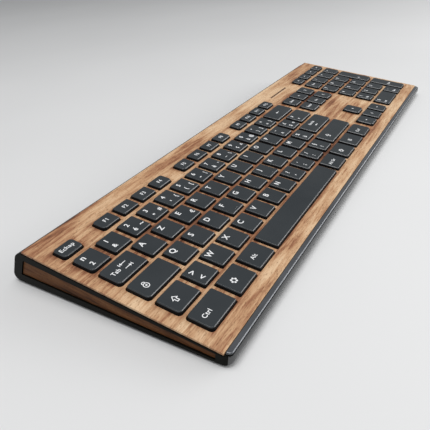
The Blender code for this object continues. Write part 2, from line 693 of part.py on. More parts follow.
def profile_tool(name, outline, x0, x1):
    mesh = outline_mesh(name, [outline], x1 - x0, to_profile=True)
    return add_tool(name, mesh, DECK, ((x0 + x1) / 2, 0, 0))


def add_case_shell():
    mesh = outline_mesh("case_shell", [case_outline()], CASE_RIGHT - CASE_LEFT, to_profile=True)
    shell = add_part("case_shell", mesh, CHARCOAL, DECK, ((CASE_LEFT + CASE_RIGHT) / 2, 0, 0))
    combine(shell, "INTERSECT", corner_tool())
    side = FIELD_MARGIN + GAP
    combine(shell, "DIFFERENCE", profile_tool("hollow", cavity_outline(), -side, GRID_LENGTH + side))
    field = ((-FIELD_MARGIN, -FIELD_MARGIN, CAVITY_TOP - GAP), (GRID_LENGTH + FIELD_MARGIN, FIELD_BACK, 0))
    combine(shell, "DIFFERENCE", add_tool("key_field", box_mesh("key_field", [field]), DECK))
    for side_name, x0, x1 in (("left", CASE_LEFT - GAP, CASE_LEFT + INLAY_POCKET),
                              ("right", CASE_RIGHT - INLAY_POCKET, CASE_RIGHT + GAP)):
        combine(shell, "DIFFERENCE", profile_tool("inlay_pocket_" + side_name, inlay_outline(), x0, x1))
    opening = box_mesh("cover_opening", [cover_box(GAP, -BASE_WALL, 2 * BASE_WALL)])
    combine(shell, "DIFFERENCE", add_tool("cover_opening", opening, BASE))


def corner_tool():
    """The case's outline from above, with round front corners and square back ones."""
    ys = [y for y, z in case_outline()]
    front, back = min(ys), max(ys) + BASE_WALL
    left = arc(CASE_LEFT + CORNER_RADIUS, front + CORNER_RADIUS, CORNER_RADIUS, CORNER_RADIUS, 180, 270, 4)
    right = arc(CASE_RIGHT - CORNER_RADIUS, front + CORNER_RADIUS, CORNER_RADIUS, CORNER_RADIUS, 270, 360, 4)
    outline = left + right + [(CASE_RIGHT, back), (CASE_LEFT, back)]
    height = -2 * heel()[1]
    return add_tool("corners", outline_mesh("corners", [outline], 2 * height), DECK)


def add_inlays():
    for side, x in (("left", CASE_LEFT + INLAY_POCKET - GAP - INLAY_THICKNESS / 2),
                    ("right", CASE_RIGHT - INLAY_POCKET + GAP + INLAY_THICKNESS / 2)):
        name = "side_inlay_" + side
        mesh = outline_mesh(name, [inset(inlay_outline(), GAP)], INLAY_THICKNESS, to_profile=True)
        add_part(name, mesh, DARK_WALNUT, DECK, (x, 0, 0))


def add_front_trim():
    bm = bmesh.new()
    bmesh.ops.create_cube(bm, size=1.0)
    x0, x1 = CASE_LEFT + TRIM_END_MARGIN, CASE_RIGHT - TRIM_END_MARGIN
    for vert in bm.verts:
        vert.co.x = x1 if vert.co.x > 0 else x0
        vert.co.y = TRIM_BACK if vert.co.y > 0 else TRIM_FRONT
        vert.co.z = WOOD_TOP if vert.co.z > 0 else WOOD_BOTTOM
    ends = [edge for edge in bm.edges
            if all(abs(vert.co.y - TRIM_FRONT) < GAP for vert in edge.verts)
            and edge.verts[0].co.x == edge.verts[1].co.x]
    bmesh.ops.bevel(bm, geom=ends, offset=TRIM_END_RADIUS, segments=4, profile=0.5, affect="EDGES")
    crest = [edge for edge in bm.edges
             if all(abs(vert.co.z - WOOD_TOP) < GAP for vert in edge.verts)
             and any(vert.co.y < TRIM_BACK - GAP for vert in edge.verts)]
    bmesh.ops.bevel(bm, geom=crest, offset=TRIM_CHAMFER, segments=1, affect="EDGES")
    add_part("front_trim", mesh_from(bm, "front_trim"), GLOSS_GREY, DECK)


# ---- underside ---------------------------------------------------------------------------------------------

def cover_box(reach, low, high):
    side = COVER_MARGIN_X - SIDE_MARGIN
    return ((side - reach, COVER_FRONT - reach, low), (GRID_LENGTH - side + reach, COVER_BACK + reach, high))


def hinged_box(centre_x, width, length, hinge_y, barrel, reach, low, high):
    """The room of a leaf that is hinged at its back, in the base frame, grown by reach."""
    return ((centre_x - width / 2 - reach, hinge_y - length - reach, low),
            (centre_x + width / 2 + reach, hinge_y + barrel / 2 + reach, high))


def leg_axis_z():
    return LEG_BARREL / 2 + GAP


def door_axis_z():
    return DOOR_BARREL / 2 + GAP / 2


def door_hinge_y():
    return BAY_FRONT + BAY_DEPTH - DOOR_BARREL / 2 - GAP


def bay_length():
    return 2 * (BATTERY_LENGTH + BATTERY_NUB_LENGTH + BAY_END_ROOM)


def battery_axis_z():
    return DOOR_THICKNESS + GAP + BATTERY_DIAMETER / 2


def bay_box(reach, low, high):
    """The battery bay, whose mouth is closed by the door, grown by reach."""
    centre_x = GRID_LENGTH / 2
    half = bay_length() / 2 + reach
    return ((centre_x - half, BAY_FRONT - reach, low),
            (centre_x + half, BAY_FRONT + BAY_DEPTH + reach, high))


def foot_places():
    return [(end + "_" + side, x, y) for end, y in (("front", FOOT_FRONT), ("back", FOOT_BACK))
            for side, x in side_places(FOOT_INSET_X)]


def switch_x():
    """Halfway between the battery bay and the right back foot."""
    return (GRID_LENGTH / 2 + bay_length() / 2 + GRID_LENGTH - FOOT_INSET_X - FOOT_LENGTH / 2) / 2


def board_low_corner():
    return (BOARD_COLUMN * PITCH - BOARD_SIZE[0] / 2, BOARD_Y - BOARD_SIZE[1] / 2)


def add_bottom_cover():
    cover = add_part("bottom_cover", box_mesh("bottom_cover", [cover_box(0, 0, BASE_WALL)]), CHARCOAL, BASE)
    combine(cover, "UNION", add_tool("cover_blocks", box_mesh("cover_blocks", raised_blocks()), BASE))
    for number, column in enumerate(RIB_COLUMNS):
        x = column * PITCH
        rib = profile_tool("rib_%d" % number, rib_outline(), x - RIB_THICKNESS / 2, x + RIB_THICKNESS / 2)
        combine(cover, "UNION", rib)
    combine(cover, "DIFFERENCE", add_tool("cover_cuts", box_mesh("cover_cuts", cover_cuts()), BASE))
    combine(cover, "DIFFERENCE", add_tool("pin_holes", rod_mesh("pin_holes", pin_holes()), BASE))


def raised_blocks():
    """Walls of the leg pockets and the battery bay, and the posts of the board."""
    inside = BASE_WALL / 2
    blocks = [bay_box(POCKET_WALL, inside, BAY_ROOF + POCKET_WALL)]
    for _, x in side_places(LEG_INSET_X):
        blocks.append(hinged_box(x, LEG_WIDTH, LEG_LENGTH, LEG_HINGE_Y, LEG_BARREL, GAP + POCKET_WALL,
                                 inside, pocket_roof() + POCKET_WALL))
    low_x, low_y = board_low_corner()
    for x in (low_x, low_x + BOARD_SIZE[0] - POST_SIZE):
        for y in (low_y, low_y + BOARD_SIZE[1] - POST_SIZE):
            blocks.append(((x, y, inside), (x + POST_SIZE, y + POST_SIZE, BOARD_HEIGHT - GAP)))
    return blocks


def pocket_roof():
    return leg_axis_z() + LEG_BARREL / 2 + GAP


def rib_outline():
    """A wedge between the cover and the key plate, counter-clockwise, in the deck frame."""
    top = PLATE_BOTTOM - GAP
    root = BASE_WALL / 2
    return [(RIB_FRONT, underside(RIB_FRONT) + root), (RIB_BACK, underside(RIB_BACK) + root),
            (RIB_BACK, top), (RIB_FRONT, top)]


def cover_cuts():
    """Leg pockets, battery bay, seats of the feet and the switch's slot, all open underneath."""
    below = -BASE_WALL
    cuts = [bay_box(0, below, BAY_ROOF)]
    for _, x in side_places(LEG_INSET_X):
        cuts.append(hinged_box(x, LEG_WIDTH, LEG_LENGTH, LEG_HINGE_Y, LEG_BARREL, GAP, below, pocket_roof()))
    seat = FOOT_THICKNESS - FOOT_PROUD + GAP
    for _, x, y in foot_places():
        half_length, half_width = FOOT_LENGTH / 2 + GAP, FOOT_WIDTH / 2 + GAP
        cuts.append(((x - half_length, y - half_width, below), (x + half_length, y + half_width, seat)))
    x = switch_x()
    half_width = SWITCH_KNOB[1] / 2 + GAP
    cuts.append(((x - SWITCH_KNOB[0] / 2 - GAP, SWITCH_Y - half_width, below),
                 (x + SWITCH_KNOB[0] / 2 + SWITCH_TRAVEL + GAP, SWITCH_Y + half_width, 2 * BASE_WALL)))
    return cuts


def pin_holes():
    reach = 2 * (GAP + PIN_LENGTH + GAP)
    holes = [((GRID_LENGTH / 2, door_hinge_y(), door_axis_z()), DOOR_PIN + 2 * GAP, door_width() + reach)]
    for _, x in side_places(LEG_INSET_X):
        holes.append(((x, LEG_HINGE_Y, leg_axis_z()), LEG_PIN + 2 * GAP, LEG_WIDTH + reach))
    return holes


def door_width():
    return bay_length() - 2 * GAP


def add_leaf(name, centre, width, length, thickness, low, barrel, pin, finish):
    """A hinged leaf: a plate in front of a round barrel with a pin at each end, with its origin on the axis."""
    leaf_low = low - centre[2]
    plate = ((-width / 2, -length, leaf_low), (width / 2, 0, leaf_low + thickness))
    leaf = add_part(name, box_mesh(name, [plate]), finish, BASE, centre)
    pin_span = width + 2 * (GAP + PIN_LENGTH)
    for part, diameter, span in (("barrel", barrel, width), ("pin", pin, pin_span)):
        rod = rod_mesh(name + "_" + part, [((0, 0, 0), diameter, span)])
        combine(leaf, "UNION", add_tool(name + "_" + part, rod, BASE, centre))


def add_tilt_legs():
    for side, x in side_places(LEG_INSET_X):
        add_leaf("tilt_leg_" + side, (x, LEG_HINGE_Y, leg_axis_z()), LEG_WIDTH, LEG_LENGTH, LEG_THICKNESS,
                 GAP, LEG_BARREL, LEG_PIN, CHARCOAL)


def add_battery_door():
    length = door_hinge_y() - BAY_FRONT - GAP
    add_leaf("battery_door", (GRID_LENGTH / 2, door_hinge_y(), door_axis_z()), door_width(), length,
             DOOR_THICKNESS - GAP / 2, GAP / 2, DOOR_BARREL, DOOR_PIN, CHARCOAL)


def add_rubber_feet():
    for place_name, x, y in foot_places():
        name = "rubber_foot_" + place_name
        half = (FOOT_LENGTH / 2, FOOT_WIDTH / 2)
        pad = ((-half[0], -half[1], -FOOT_PROUD), (*half, FOOT_THICKNESS - FOOT_PROUD))
        add_part(name, box_mesh(name, [pad]), RUBBER, BASE, (x, y, 0))


def add_batteries():
    centre_x = GRID_LENGTH / 2
    cell = BATTERY_LENGTH + BATTERY_NUB_LENGTH
    for side, direction in (("left", -1), ("right", 1)):
        name = "battery_" + side
        x = centre_x + direction * (cell + BAY_END_ROOM) / 2
        body = rod_mesh(name, [((0, 0, 0), BATTERY_DIAMETER, BATTERY_LENGTH)])
        battery = add_part(name, body, BATTERY_GREY, BASE, (x, BATTERY_Y, battery_axis_z()))
        nub_centre = (BATTERY_LENGTH + BATTERY_NUB_LENGTH - GAP) / 2
        nub = rod_mesh(name + "_nub", [((nub_centre, 0, 0), BATTERY_NUB_DIAMETER, BATTERY_NUB_LENGTH + GAP)])
        combine(battery, "UNION", add_tool(name + "_nub", nub, BASE, (x, BATTERY_Y, battery_axis_z())))


def add_controller_board():
    low_x, low_y = board_low_corner()
    length, depth, thickness = BOARD_SIZE
    board_box = ((low_x, low_y, BOARD_HEIGHT), (low_x + length, low_y + depth, BOARD_HEIGHT + thickness))
    board = add_part("controller_board", box_mesh("controller_board", [board_box]), BOARD_GREEN, BASE)
    chips = []
    for share_x, share_y, chip_x, chip_y, height in CHIPS:
        x = BOARD_COLUMN * PITCH + share_x * length
        y = BOARD_Y + share_y * depth
        chips.append(((x - chip_x / 2, y - chip_y / 2, BOARD_HEIGHT + thickness / 2),
                      (x + chip_x / 2, y + chip_y / 2, BOARD_HEIGHT + thickness + height)))
    combine(board, "UNION", add_tool("chips", box_mesh("chips", chips), BASE))


def add_power_switch():
    x = switch_x()
    knob = ((-SWITCH_KNOB[0] / 2, -SWITCH_KNOB[1] / 2, -SWITCH_PROUD),
            (SWITCH_KNOB[0] / 2, SWITCH_KNOB[1] / 2, BASE_WALL + 2 * GAP))
    flange_low = BASE_WALL + GAP
    flange = ((-SWITCH_FLANGE[0] / 2, -SWITCH_FLANGE[1] / 2, flange_low),
              (SWITCH_FLANGE[0] / 2, SWITCH_FLANGE[1] / 2, flange_low + SWITCH_FLANGE[2]))
    switch = add_part("power_switch", box_mesh("power_switch", [flange]), CHARCOAL, BASE, (x, SWITCH_Y, 0))
    combine(switch, "UNION", add_tool("knob", box_mesh("knob", [knob]), BASE, (x, SWITCH_Y, 0)))


clear_scene()
PARTS = new_collection("wood_top_keyboard")
TOOLS = new_collection("tools")
BASE = new_empty("base_frame", (-GRID_LENGTH / 2, -base_centre_y(), FOOT_PROUD), 0)
DECK = new_empty("deck_frame", (0, 0, FRONT_DROP * math.cos(DECK_TILT)), DECK_TILT, BASE)

add_case_shell()
add_inlays()
add_front_trim()
add_wood_top()
add_status_window()
add_dome_sheet()
add_membrane()
add_key_plate()
for node in KEY_NODES:
    add_keys(*node)
add_bottom_cover()
add_controller_board()
add_batteries()
add_battery_door()
add_power_switch()
add_tilt_legs()
add_rubber_feet()
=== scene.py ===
import json
import math

import bmesh
import bpy
from mathutils import Matrix, Vector

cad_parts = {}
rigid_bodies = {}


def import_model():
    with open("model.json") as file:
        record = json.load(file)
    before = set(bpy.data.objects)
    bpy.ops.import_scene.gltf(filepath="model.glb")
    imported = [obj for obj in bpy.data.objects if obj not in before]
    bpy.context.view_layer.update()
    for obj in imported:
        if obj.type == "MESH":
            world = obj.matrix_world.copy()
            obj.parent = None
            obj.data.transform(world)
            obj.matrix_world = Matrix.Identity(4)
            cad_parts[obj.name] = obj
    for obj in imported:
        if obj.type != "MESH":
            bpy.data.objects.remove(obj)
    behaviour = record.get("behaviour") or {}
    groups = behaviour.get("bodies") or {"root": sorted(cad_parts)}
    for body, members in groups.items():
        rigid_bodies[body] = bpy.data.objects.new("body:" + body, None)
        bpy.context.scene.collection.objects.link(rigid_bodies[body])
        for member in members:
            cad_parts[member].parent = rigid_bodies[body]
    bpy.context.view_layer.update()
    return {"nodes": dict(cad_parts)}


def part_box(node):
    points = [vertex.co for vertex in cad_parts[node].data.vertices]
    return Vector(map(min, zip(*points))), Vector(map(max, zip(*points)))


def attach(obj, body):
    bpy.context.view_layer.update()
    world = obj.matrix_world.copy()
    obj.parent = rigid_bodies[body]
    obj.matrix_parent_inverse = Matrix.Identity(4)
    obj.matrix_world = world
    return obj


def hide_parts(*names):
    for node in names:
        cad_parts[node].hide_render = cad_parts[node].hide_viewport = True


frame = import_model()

# ---- Case shell ----
# The wedge-shaped case is one injection-moulded piece of charcoal ABS with a fine spark-eroded skin.
# Its top has a seat for the wooden panel, each end has a pocket for an inlay, and it is open underneath for
# the bottom cover. Its nose, back edges and ends are rounded in the mould.

MM = 0.001
DECK_TILT = math.radians(7.0)
GAP = 0.3 * MM
WOOD_TOP = -2.1 * MM              # heights in the deck frame count down from the key tops
WOOD_BOTTOM = -3.3 * MM
SIDE_MARGIN = 6.4 * MM
PANEL_FRONT = -9.1 * MM
TRIM_WIDTH = 3.2 * MM
NOSE_DROP = 0.8 * MM
NOSE_REACH = 1.0 * MM
NOSE_ROOT = 5.9 * MM
CORNER_RADIUS = 5.0 * MM
END_ROUNDING = 0.9 * MM
SHOULDER_WIDTH = 5.2 * MM
SHOULDER_DROP = 0.8 * MM
SHOULDER_SLOPE = math.radians(35.0)
SHOULDER_RADIUS = 8.0 * MM
BACK_LEAN = math.radians(18.0)
HEEL_RADIUS = 4.0 * MM
BASE_WALL = 2.0 * MM
BACK_WALL = 3.5 * MM
FRONT_WALL = 5.1 * MM
SHELL_TOP_WALL = 1.8 * MM
INLAY_TOP_MARGINS = (3.1 * MM, 6.9 * MM)      # case over the inlay, at its front end and back end
INLAY_LOW_MARGINS = (2.1 * MM, 6.3 * MM)      # case under the inlay, at its front end and back end
INLAY_BACK_WALL = 7.2 * MM
INLAY_POCKET = 3.2 * MM
INLAY_NOSE_WALL = 2.1 * MM
INLAY_LOW_SHARE = 1.3             # the low back corner stands this many back walls from the heel
CAVITY_SIDE = 1.3 * MM
COVER_SIDE = 8.0 * MM

SINE, COSINE, SLOPE = math.sin(DECK_TILT), math.cos(DECK_TILT), math.tan(DECK_TILT)
panel_low, panel_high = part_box("wood_top_panel")
grid_x = panel_low.x + SIDE_MARGIN
grid_y = panel_low.y - PANEL_FRONT * COSINE + WOOD_TOP * SINE
grid_z = panel_low.z - PANEL_FRONT * SINE - WOOD_BOTTOM * COSINE
DECK = Matrix.Translation((grid_x, grid_y, grid_z)) @ Matrix.Rotation(DECK_TILT, 4, "X")
cover_low, cover_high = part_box("bottom_cover")
BASE = Matrix.Translation((grid_x, grid_y, cover_low.z))
FRONT_DROP = (grid_z - cover_low.z) / COSINE
PANEL_BACK = (panel_high.y - grid_y + WOOD_BOTTOM * SINE) / COSINE
GRID_LENGTH = panel_high.x - panel_low.x - 2 * SIDE_MARGIN
CASE_LEFT, CASE_RIGHT = -SIDE_MARGIN, GRID_LENGTH + SIDE_MARGIN
TRIM_FRONT = PANEL_FRONT - GAP - TRIM_WIDTH
SEAT = WOOD_BOTTOM - GAP


def underside(y):
    return -FRONT_DROP - y * SLOPE


def back_wall(z):
    return PANEL_BACK + GAP + SHOULDER_WIDTH + (WOOD_TOP - GAP - z) * math.tan(BACK_LEAN)


def arc(centre, radii, start, end, steps):
    """Points along an arc of a circle or ellipse, in degrees."""
    angles = [math.radians(start + (end - start) * i / steps) for i in range(steps + 1)]
    return [(centre[0] + radii[0] * math.cos(a), centre[1] + radii[1] * math.sin(a)) for a in angles]


def fillet(before, corner, after, radius, steps):
    """Points of a round corner between the lines corner-before and corner-after."""
    corner = Vector(corner)
    to_before = (Vector(before) - corner).normalized()
    to_after = (Vector(after) - corner).normalized()
    half = to_before.angle(to_after) / 2
    centre = corner + (to_before + to_after).normalized() * radius / math.sin(half)
    first = corner + to_before * radius / math.tan(half) - centre
    side = to_before.y * to_after.x - to_before.x * to_after.y
    turn = math.copysign(math.pi - 2 * half, side)
    return [tuple(centre + Matrix.Rotation(turn * i / steps, 2) @ first) for i in range(steps + 1)]


def heel():
    """Where the lines of the back wall and the underside meet."""
    lean = math.tan(BACK_LEAN)
    z = (-FRONT_DROP - back_wall(0) * SLOPE) / (1 - lean * SLOPE)
    return (back_wall(z), z)


def shoulder():
    """Where the sloping rim behind the wood meets the line of the back wall."""
    slope, lean = math.tan(SHOULDER_SLOPE), math.tan(BACK_LEAN)
    z = (WOOD_TOP - SHOULDER_DROP - (back_wall(0) - PANEL_BACK - GAP) * slope) / (1 - lean * slope)
    return (back_wall(z), z)


def case_profile():
    """The case seen from its left end, in the deck frame, from the back of the seat round the front."""
    rim = (PANEL_BACK + GAP, WOOD_TOP - SHOULDER_DROP)
    seat_front = TRIM_FRONT - GAP
    nose_y = seat_front + NOSE_ROOT
    nose_radius = NOSE_ROOT + NOSE_REACH
    start = math.degrees(math.acos(NOSE_ROOT / nose_radius))
    nose_height = (WOOD_TOP - NOSE_DROP - underside(nose_y)) / (1 + math.sin(math.radians(start)))
    nose = arc((nose_y, underside(nose_y) + nose_height), (nose_radius, nose_height), 180 - start, 270, 26)
    bottom = fillet(nose[-1], heel(), shoulder(), HEEL_RADIUS, 10)
    top = fillet(heel(), shoulder(), rim, SHOULDER_RADIUS, 10)
    return [(rim[0], SEAT), (seat_front, SEAT)] + nose + bottom + top + [rim]


def moved_in(points, distance):
    """A closed outline, given counter-clockwise, with every side moved in by the same distance."""
    result = []
    for i, corner in enumerate(points):
        before = (Vector(corner) - Vector(points[i - 1])).normalized()
        after = (Vector(points[(i + 1) % len(points)]) - Vector(corner)).normalized()
        normal = (Vector((-before.y, before.x)) + Vector((-after.y, after.x))).normalized()
        lean = max(0.5, normal.dot(Vector((-before.y, before.x))))
        result.append(tuple(Vector(corner) + normal * distance / lean))
    return result


def mesh_from(bm, name):
    bmesh.ops.recalc_face_normals(bm, faces=bm.faces)
    mesh = bpy.data.meshes.new(name)
    bm.to_mesh(mesh)
    bm.free()
    return mesh


def new_piece(name, mesh, place=None):
    """A new piece with its place in its vertices, as the frame's own nodes have."""
    if place is not None:
        mesh.transform(place)
    piece = bpy.data.objects.new(name, mesh)
    bpy.context.scene.collection.objects.link(piece)
    return piece


def skinned(outlines):
    """A closed body from outlines of as many points each, joined in turn and filled at both ends."""
    bm = bmesh.new()
    loops = [[bm.verts.new(point) for point in outline] for outline in outlines]
    for first, second in zip(loops, loops[1:]):
        for i in range(len(first)):
            j = (i + 1) % len(first)
            bm.faces.new((first[i], first[j], second[j], second[i]))
    bm.faces.new(loops[0])
    bm.faces.new(loops[-1])
    return bm


def prism(outline, x0, x1):
    """A solid along x from an outline in the deck's y-z plane."""
    return skinned([[(x, y, z) for y, z in outline] for x in (x0, x1)])


def block(low, high):
    bm = bmesh.new()
    size = [b - a for a, b in zip(low, high)]
    centre = [(a + b) / 2 for a, b in zip(low, high)]
    bmesh.ops.create_cube(bm, size=1.0, matrix=Matrix.Translation(centre) @ Matrix.Diagonal((*size, 1.0)))
    return bm


def rounded_case_body():
    """The case as a solid: the profile swept along x, with rounded ends and round front corners."""
    profile = case_profile()
    front = min(y for y, z in profile)
    stations = {0.0}
    stations.update(END_ROUNDING * (1 - math.cos(math.radians(15 * i))) for i in range(1, 7))
    stations.update(CORNER_RADIUS * (1 - math.cos(math.radians(9 * i))) for i in range(1, 11))
    rings = []
    for reach in sorted(stations):
        inset = END_ROUNDING - math.sqrt(END_ROUNDING ** 2 - max(0.0, END_ROUNDING - reach) ** 2)
        round_corner = CORNER_RADIUS - math.sqrt(CORNER_RADIUS ** 2 - (CORNER_RADIUS - reach) ** 2)
        limit = front + round_corner + inset
        rings.append((reach, [(max(y, limit), z) for y, z in moved_in(profile, inset)]))
    ends = [[(CASE_LEFT + reach, y, z) for y, z in ring] for reach, ring in rings]
    ends += [[(CASE_RIGHT - reach, y, z) for y, z in ring] for reach, ring in reversed(rings)]
    return skinned(ends)


def inlay_profile():
    """The opening for a wooden inlay in the end of the case, in the deck frame."""
    front = TRIM_FRONT - GAP + NOSE_ROOT + INLAY_NOSE_WALL
    top_back = WOOD_TOP - INLAY_TOP_MARGINS[1]
    y_top = back_wall(top_back) - INLAY_BACK_WALL
    y_low = heel()[0] - INLAY_LOW_SHARE * INLAY_BACK_WALL
    return [(front, underside(front) + INLAY_LOW_MARGINS[0]),
            (y_low, underside(y_low) + INLAY_LOW_MARGINS[1]),
            (y_top, top_back), (front, WOOD_TOP - INLAY_TOP_MARGINS[0])]


def cavity_profile():
    cavity_top = SEAT - SHELL_TOP_WALL
    front = TRIM_FRONT - GAP + NOSE_ROOT + FRONT_WALL - 2 * MM
    floor = BASE_WALL / COSINE
    low = heel()[1] + 2 * BACK_WALL
    return [(front, underside(front) + floor),
            (back_wall(low) - BACK_WALL, underside(back_wall(low)) + floor),
            (back_wall(cavity_top - BACK_WALL) - BACK_WALL, cavity_top - BACK_WALL),
            (back_wall(cavity_top) - 2 * BACK_WALL, cavity_top), (front, cavity_top)]


def cut(piece, tools):
    """Cuts closed bodies out of a piece for good."""
    for number, tool in enumerate(tools):
        cutter = new_piece("cutter_%d" % number, mesh_from(tool, "cutter"))
        modifier = piece.modifiers.new("cut", "BOOLEAN")
        modifier.operation, modifier.solver, modifier.object = "DIFFERENCE", "EXACT", cutter
    settle(piece)
    for obj in [o for o in bpy.data.objects if o.name.startswith("cutter_")]:
        bpy.data.objects.remove(obj)


def settle(piece):
    """Applies the modifiers of a piece to its mesh."""
    mesh = bpy.data.meshes.new_from_object(piece.evaluated_get(bpy.context.evaluated_depsgraph_get()))
    piece.modifiers.clear()
    piece.data = mesh
    return piece


def soften(piece, width, segments=2, angle=40):
    """Breaks the sharp edges of a piece, and shades its flat faces flat."""
    if width > 0:
        edges = piece.modifiers.new("soft edges", "BEVEL")
        edges.width, edges.segments, edges.limit_method = width, segments, "ANGLE"
        edges.angle_limit = math.radians(angle)
        edges.harden_normals = False
    piece.data.shade_smooth()
    piece.data.set_sharp_from_angle(angle=math.radians(angle))
    shading = piece.modifiers.new("flat faces", "WEIGHTED_NORMAL")
    shading.keep_sharp = True
    return settle(piece)


shell = new_piece("case_shell_moulding", mesh_from(rounded_case_body(), "case_shell_moulding"))
cover_box = ((COVER_SIDE - GAP, cover_low.y - grid_y - GAP, -BASE_WALL),
             (GRID_LENGTH - COVER_SIDE + GAP, cover_high.y - grid_y + GAP, 2 * BASE_WALL))
cover_opening = block(*cover_box)
bmesh.ops.transform(cover_opening, matrix=DECK.inverted() @ BASE, verts=cover_opening.verts)
FIELD_EDGE = 1.0 * MM
FIELD_BACK = (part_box("dome_sheet")[1].y - grid_y) / COSINE + 2 * GAP
cut(shell, [prism(cavity_profile(), -CAVITY_SIDE, GRID_LENGTH + CAVITY_SIDE),
            block((-FIELD_EDGE, -FIELD_EDGE, SEAT - SHELL_TOP_WALL - GAP),
                  (GRID_LENGTH + FIELD_EDGE, FIELD_BACK, 0)),
            prism(inlay_profile(), CASE_LEFT - GAP, CASE_LEFT + INLAY_POCKET),
            prism(inlay_profile(), CASE_RIGHT - INLAY_POCKET, CASE_RIGHT + GAP),
            cover_opening])
shell.data.transform(DECK)
soften(shell, 0.0)
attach(shell, "case")
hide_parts("case_shell")


def add_node(tree, kind, sockets=(), **settings):
    """A shader node with its settings, and its sockets set to values or joined to other nodes' sockets."""
    made = tree.nodes.new(kind)
    for key, value in settings.items():
        setattr(made, key, value)
    for key, value in dict(sockets).items():
        if isinstance(value, bpy.types.NodeSocket):
            tree.links.new(value, made.inputs[key])
        else:
            made.inputs[key].default_value = value
    return made


def new_finish(name, **constants):
    """A material with its tree, its shader and the piece's own coordinates in metres."""
    material = bpy.data.materials.new(name)
    material.use_nodes = True
    tree = material.node_tree
    shader = tree.nodes["Principled BSDF"]
    for key, value in constants.items():
        shader.inputs[key.replace("_", " ")].default_value = value
    place = tree.nodes.new("ShaderNodeTexCoord").outputs["Object"]
    return material, tree, shader, place


def reckoned(tree, operation, *values, kind="ShaderNodeMath"):
    """The result of a sum of numbers in a material, or of vectors for the kind ShaderNodeVectorMath."""
    return add_node(tree, kind, enumerate(values), operation=operation).outputs[0]


def stretched(tree, place, scale):
    """The piece's coordinates turned into the deck's plane and scaled by its three axes."""
    turned = add_node(tree, "ShaderNodeMapping", {"Vector": place, "Rotation": (-DECK_TILT, 0, 0)}).outputs[0]
    return add_node(tree, "ShaderNodeMapping", {"Vector": turned, "Scale": scale}).outputs[0]


def grain(tree, vector, scale=1.0, detail=4.0, roughness=0.55, distortion=0.0):
    settings = {"Vector": vector, "Scale": scale, "Detail": detail, "Roughness": roughness,
                "Distortion": distortion}
    return add_node(tree, "ShaderNodeTexNoise", settings).outputs["Fac"]


def ramp(tree, factor, stops):
    """A colour ramp through (position, colour) stops."""
    made = add_node(tree, "ShaderNodeValToRGB", {"Fac": factor})
    elements = made.color_ramp.elements
    while len(elements) < len(stops):
        elements.new(0.5)
    for element, (position, colour) in zip(elements, stops):
        element.position = position
        element.color = (*colour, 1.0) if len(colour) == 3 else colour
    return made.outputs["Color"]


def levels(tree, value, from_low, from_high, to_low, to_high):
    return add_node(tree, "ShaderNodeMapRange", {"Value": value, "From Min": from_low, "From Max": from_high,
                                                 "To Min": to_low, "To Max": to_high}).outputs["Result"]


def bumped(tree, shader, height, distance, strength=1.0):
    bump = add_node(tree, "ShaderNodeBump", {"Height": height, "Distance": distance, "Strength": strength})
    tree.links.new(bump.outputs["Normal"], shader.inputs["Normal"])


def coated(tree, shader, colour_height, tones, gloss_height, gloss, height, depth, strength=1.0):
    """Joins the colour, the gloss and the surface relief of a finish to its shader."""
    tree.links.new(ramp(tree, colour_height, tones), shader.inputs["Base Color"])
    tree.links.new(levels(tree, gloss_height, *gloss), shader.inputs["Roughness"])
    bumped(tree, shader, height, depth, strength)


def clouded_finish(name, scale, detail, tones, gloss, depth, **constants):
    """A finish whose colour, gloss and relief all follow one fine cloud."""
    material, tree, shader, place = new_finish(name, **constants)
    cloud = grain(tree, place, scale, detail)
    coated(tree, shader, cloud, tones, cloud, (0.3, 0.7, *gloss), cloud, depth)
    return material


def spark_finish(name, dark, light, roughness, grain_size, depth, gleam=0.2):
    """Moulded plastic: a fine pitted skin, slightly uneven in colour and gloss."""
    material, tree, shader, place = new_finish(name, Specular_IOR_Level=gleam)
    pits = grain(tree, place, 1.0 / grain_size, 2.0, 0.6)
    coated(tree, shader, grain(tree, place, 35.0, 3.0), [(0.3, dark), (0.7, light)],
           pits, (0.3, 0.7, roughness - 0.05, roughness + 0.07), pits, depth)
    return material


def paint(piece, *finishes):
    """Gives a piece its finishes in place of any it had."""
    piece.data.materials.clear()
    for finish in finishes:
        piece.data.materials.append(finish)


case_plastic = spark_finish("charcoal_case_plastic", (0.0034, 0.0036, 0.0026), (0.0056, 0.0058, 0.0044), 0.45,
                            0.35 * MM, 0.008 * MM, 0.05)
# The front-facing faces of the nose get a glossier copy of the case plastic whose base colour is about four
# times lighter: a painted highlight where the nose faces the light, on the same moulding.
nose_satin_and_painted_highlight = spark_finish("nose_plastic_with_painted_highlight", (0.014, 0.015, 0.016), (0.021, 0.022, 0.024), 0.27,
                          0.5 * MM, 0.004 * MM, 0.9)
paint(shell, case_plastic, nose_satin_and_painted_highlight)
FACES_FRONT = -0.45               # the y of a face normal that counts as the front of the nose
NOSE_OVER_SEAT = 1.0 * MM
to_deck = DECK.inverted()
# Front-facing faces of the nose, below the seat, take the lighter finish with the painted highlight.
for face in shell.data.polygons:
    middle = to_deck @ face.center
    faces_front = (to_deck.to_3x3() @ face.normal).y < FACES_FRONT
    if middle.y < TRIM_FRONT + NOSE_ROOT and faces_front and middle.z < SEAT + NOSE_OVER_SEAT:
        face.material_index = 1

# ---- Bottom cover and its screws ----
# The cover is a flat moulding of the same charcoal ABS with leg pockets, a battery bay and ribs that carry
# the key plate. Nine countersunk cross-head screws of black zinc steel hold it in the case.

SCREW_SIDES = 32
SCREW_HEAD = 5.2 * MM
SCREW_SHANK = 2.4 * MM
SCREW_SINK = 0.35 * MM
HEAD_THICKNESS = 1.0 * MM
CROSS_SLOT = ((-1.5 * MM, -0.33 * MM, -0.5 * MM), (1.5 * MM, 0.33 * MM, 0.75 * MM))
SCREW_TURN = 0.4                  # radians that each screw is turned past the one before
SCREW_SPOTS = [(share * GRID_LENGTH, y * MM) for share, y in
               ((0.034, 14), (0.5, 14), (0.966, 14), (0.034, 60), (0.25, 62), (0.75, 62), (0.966, 60),
                (0.247, 115), (0.753, 115))]


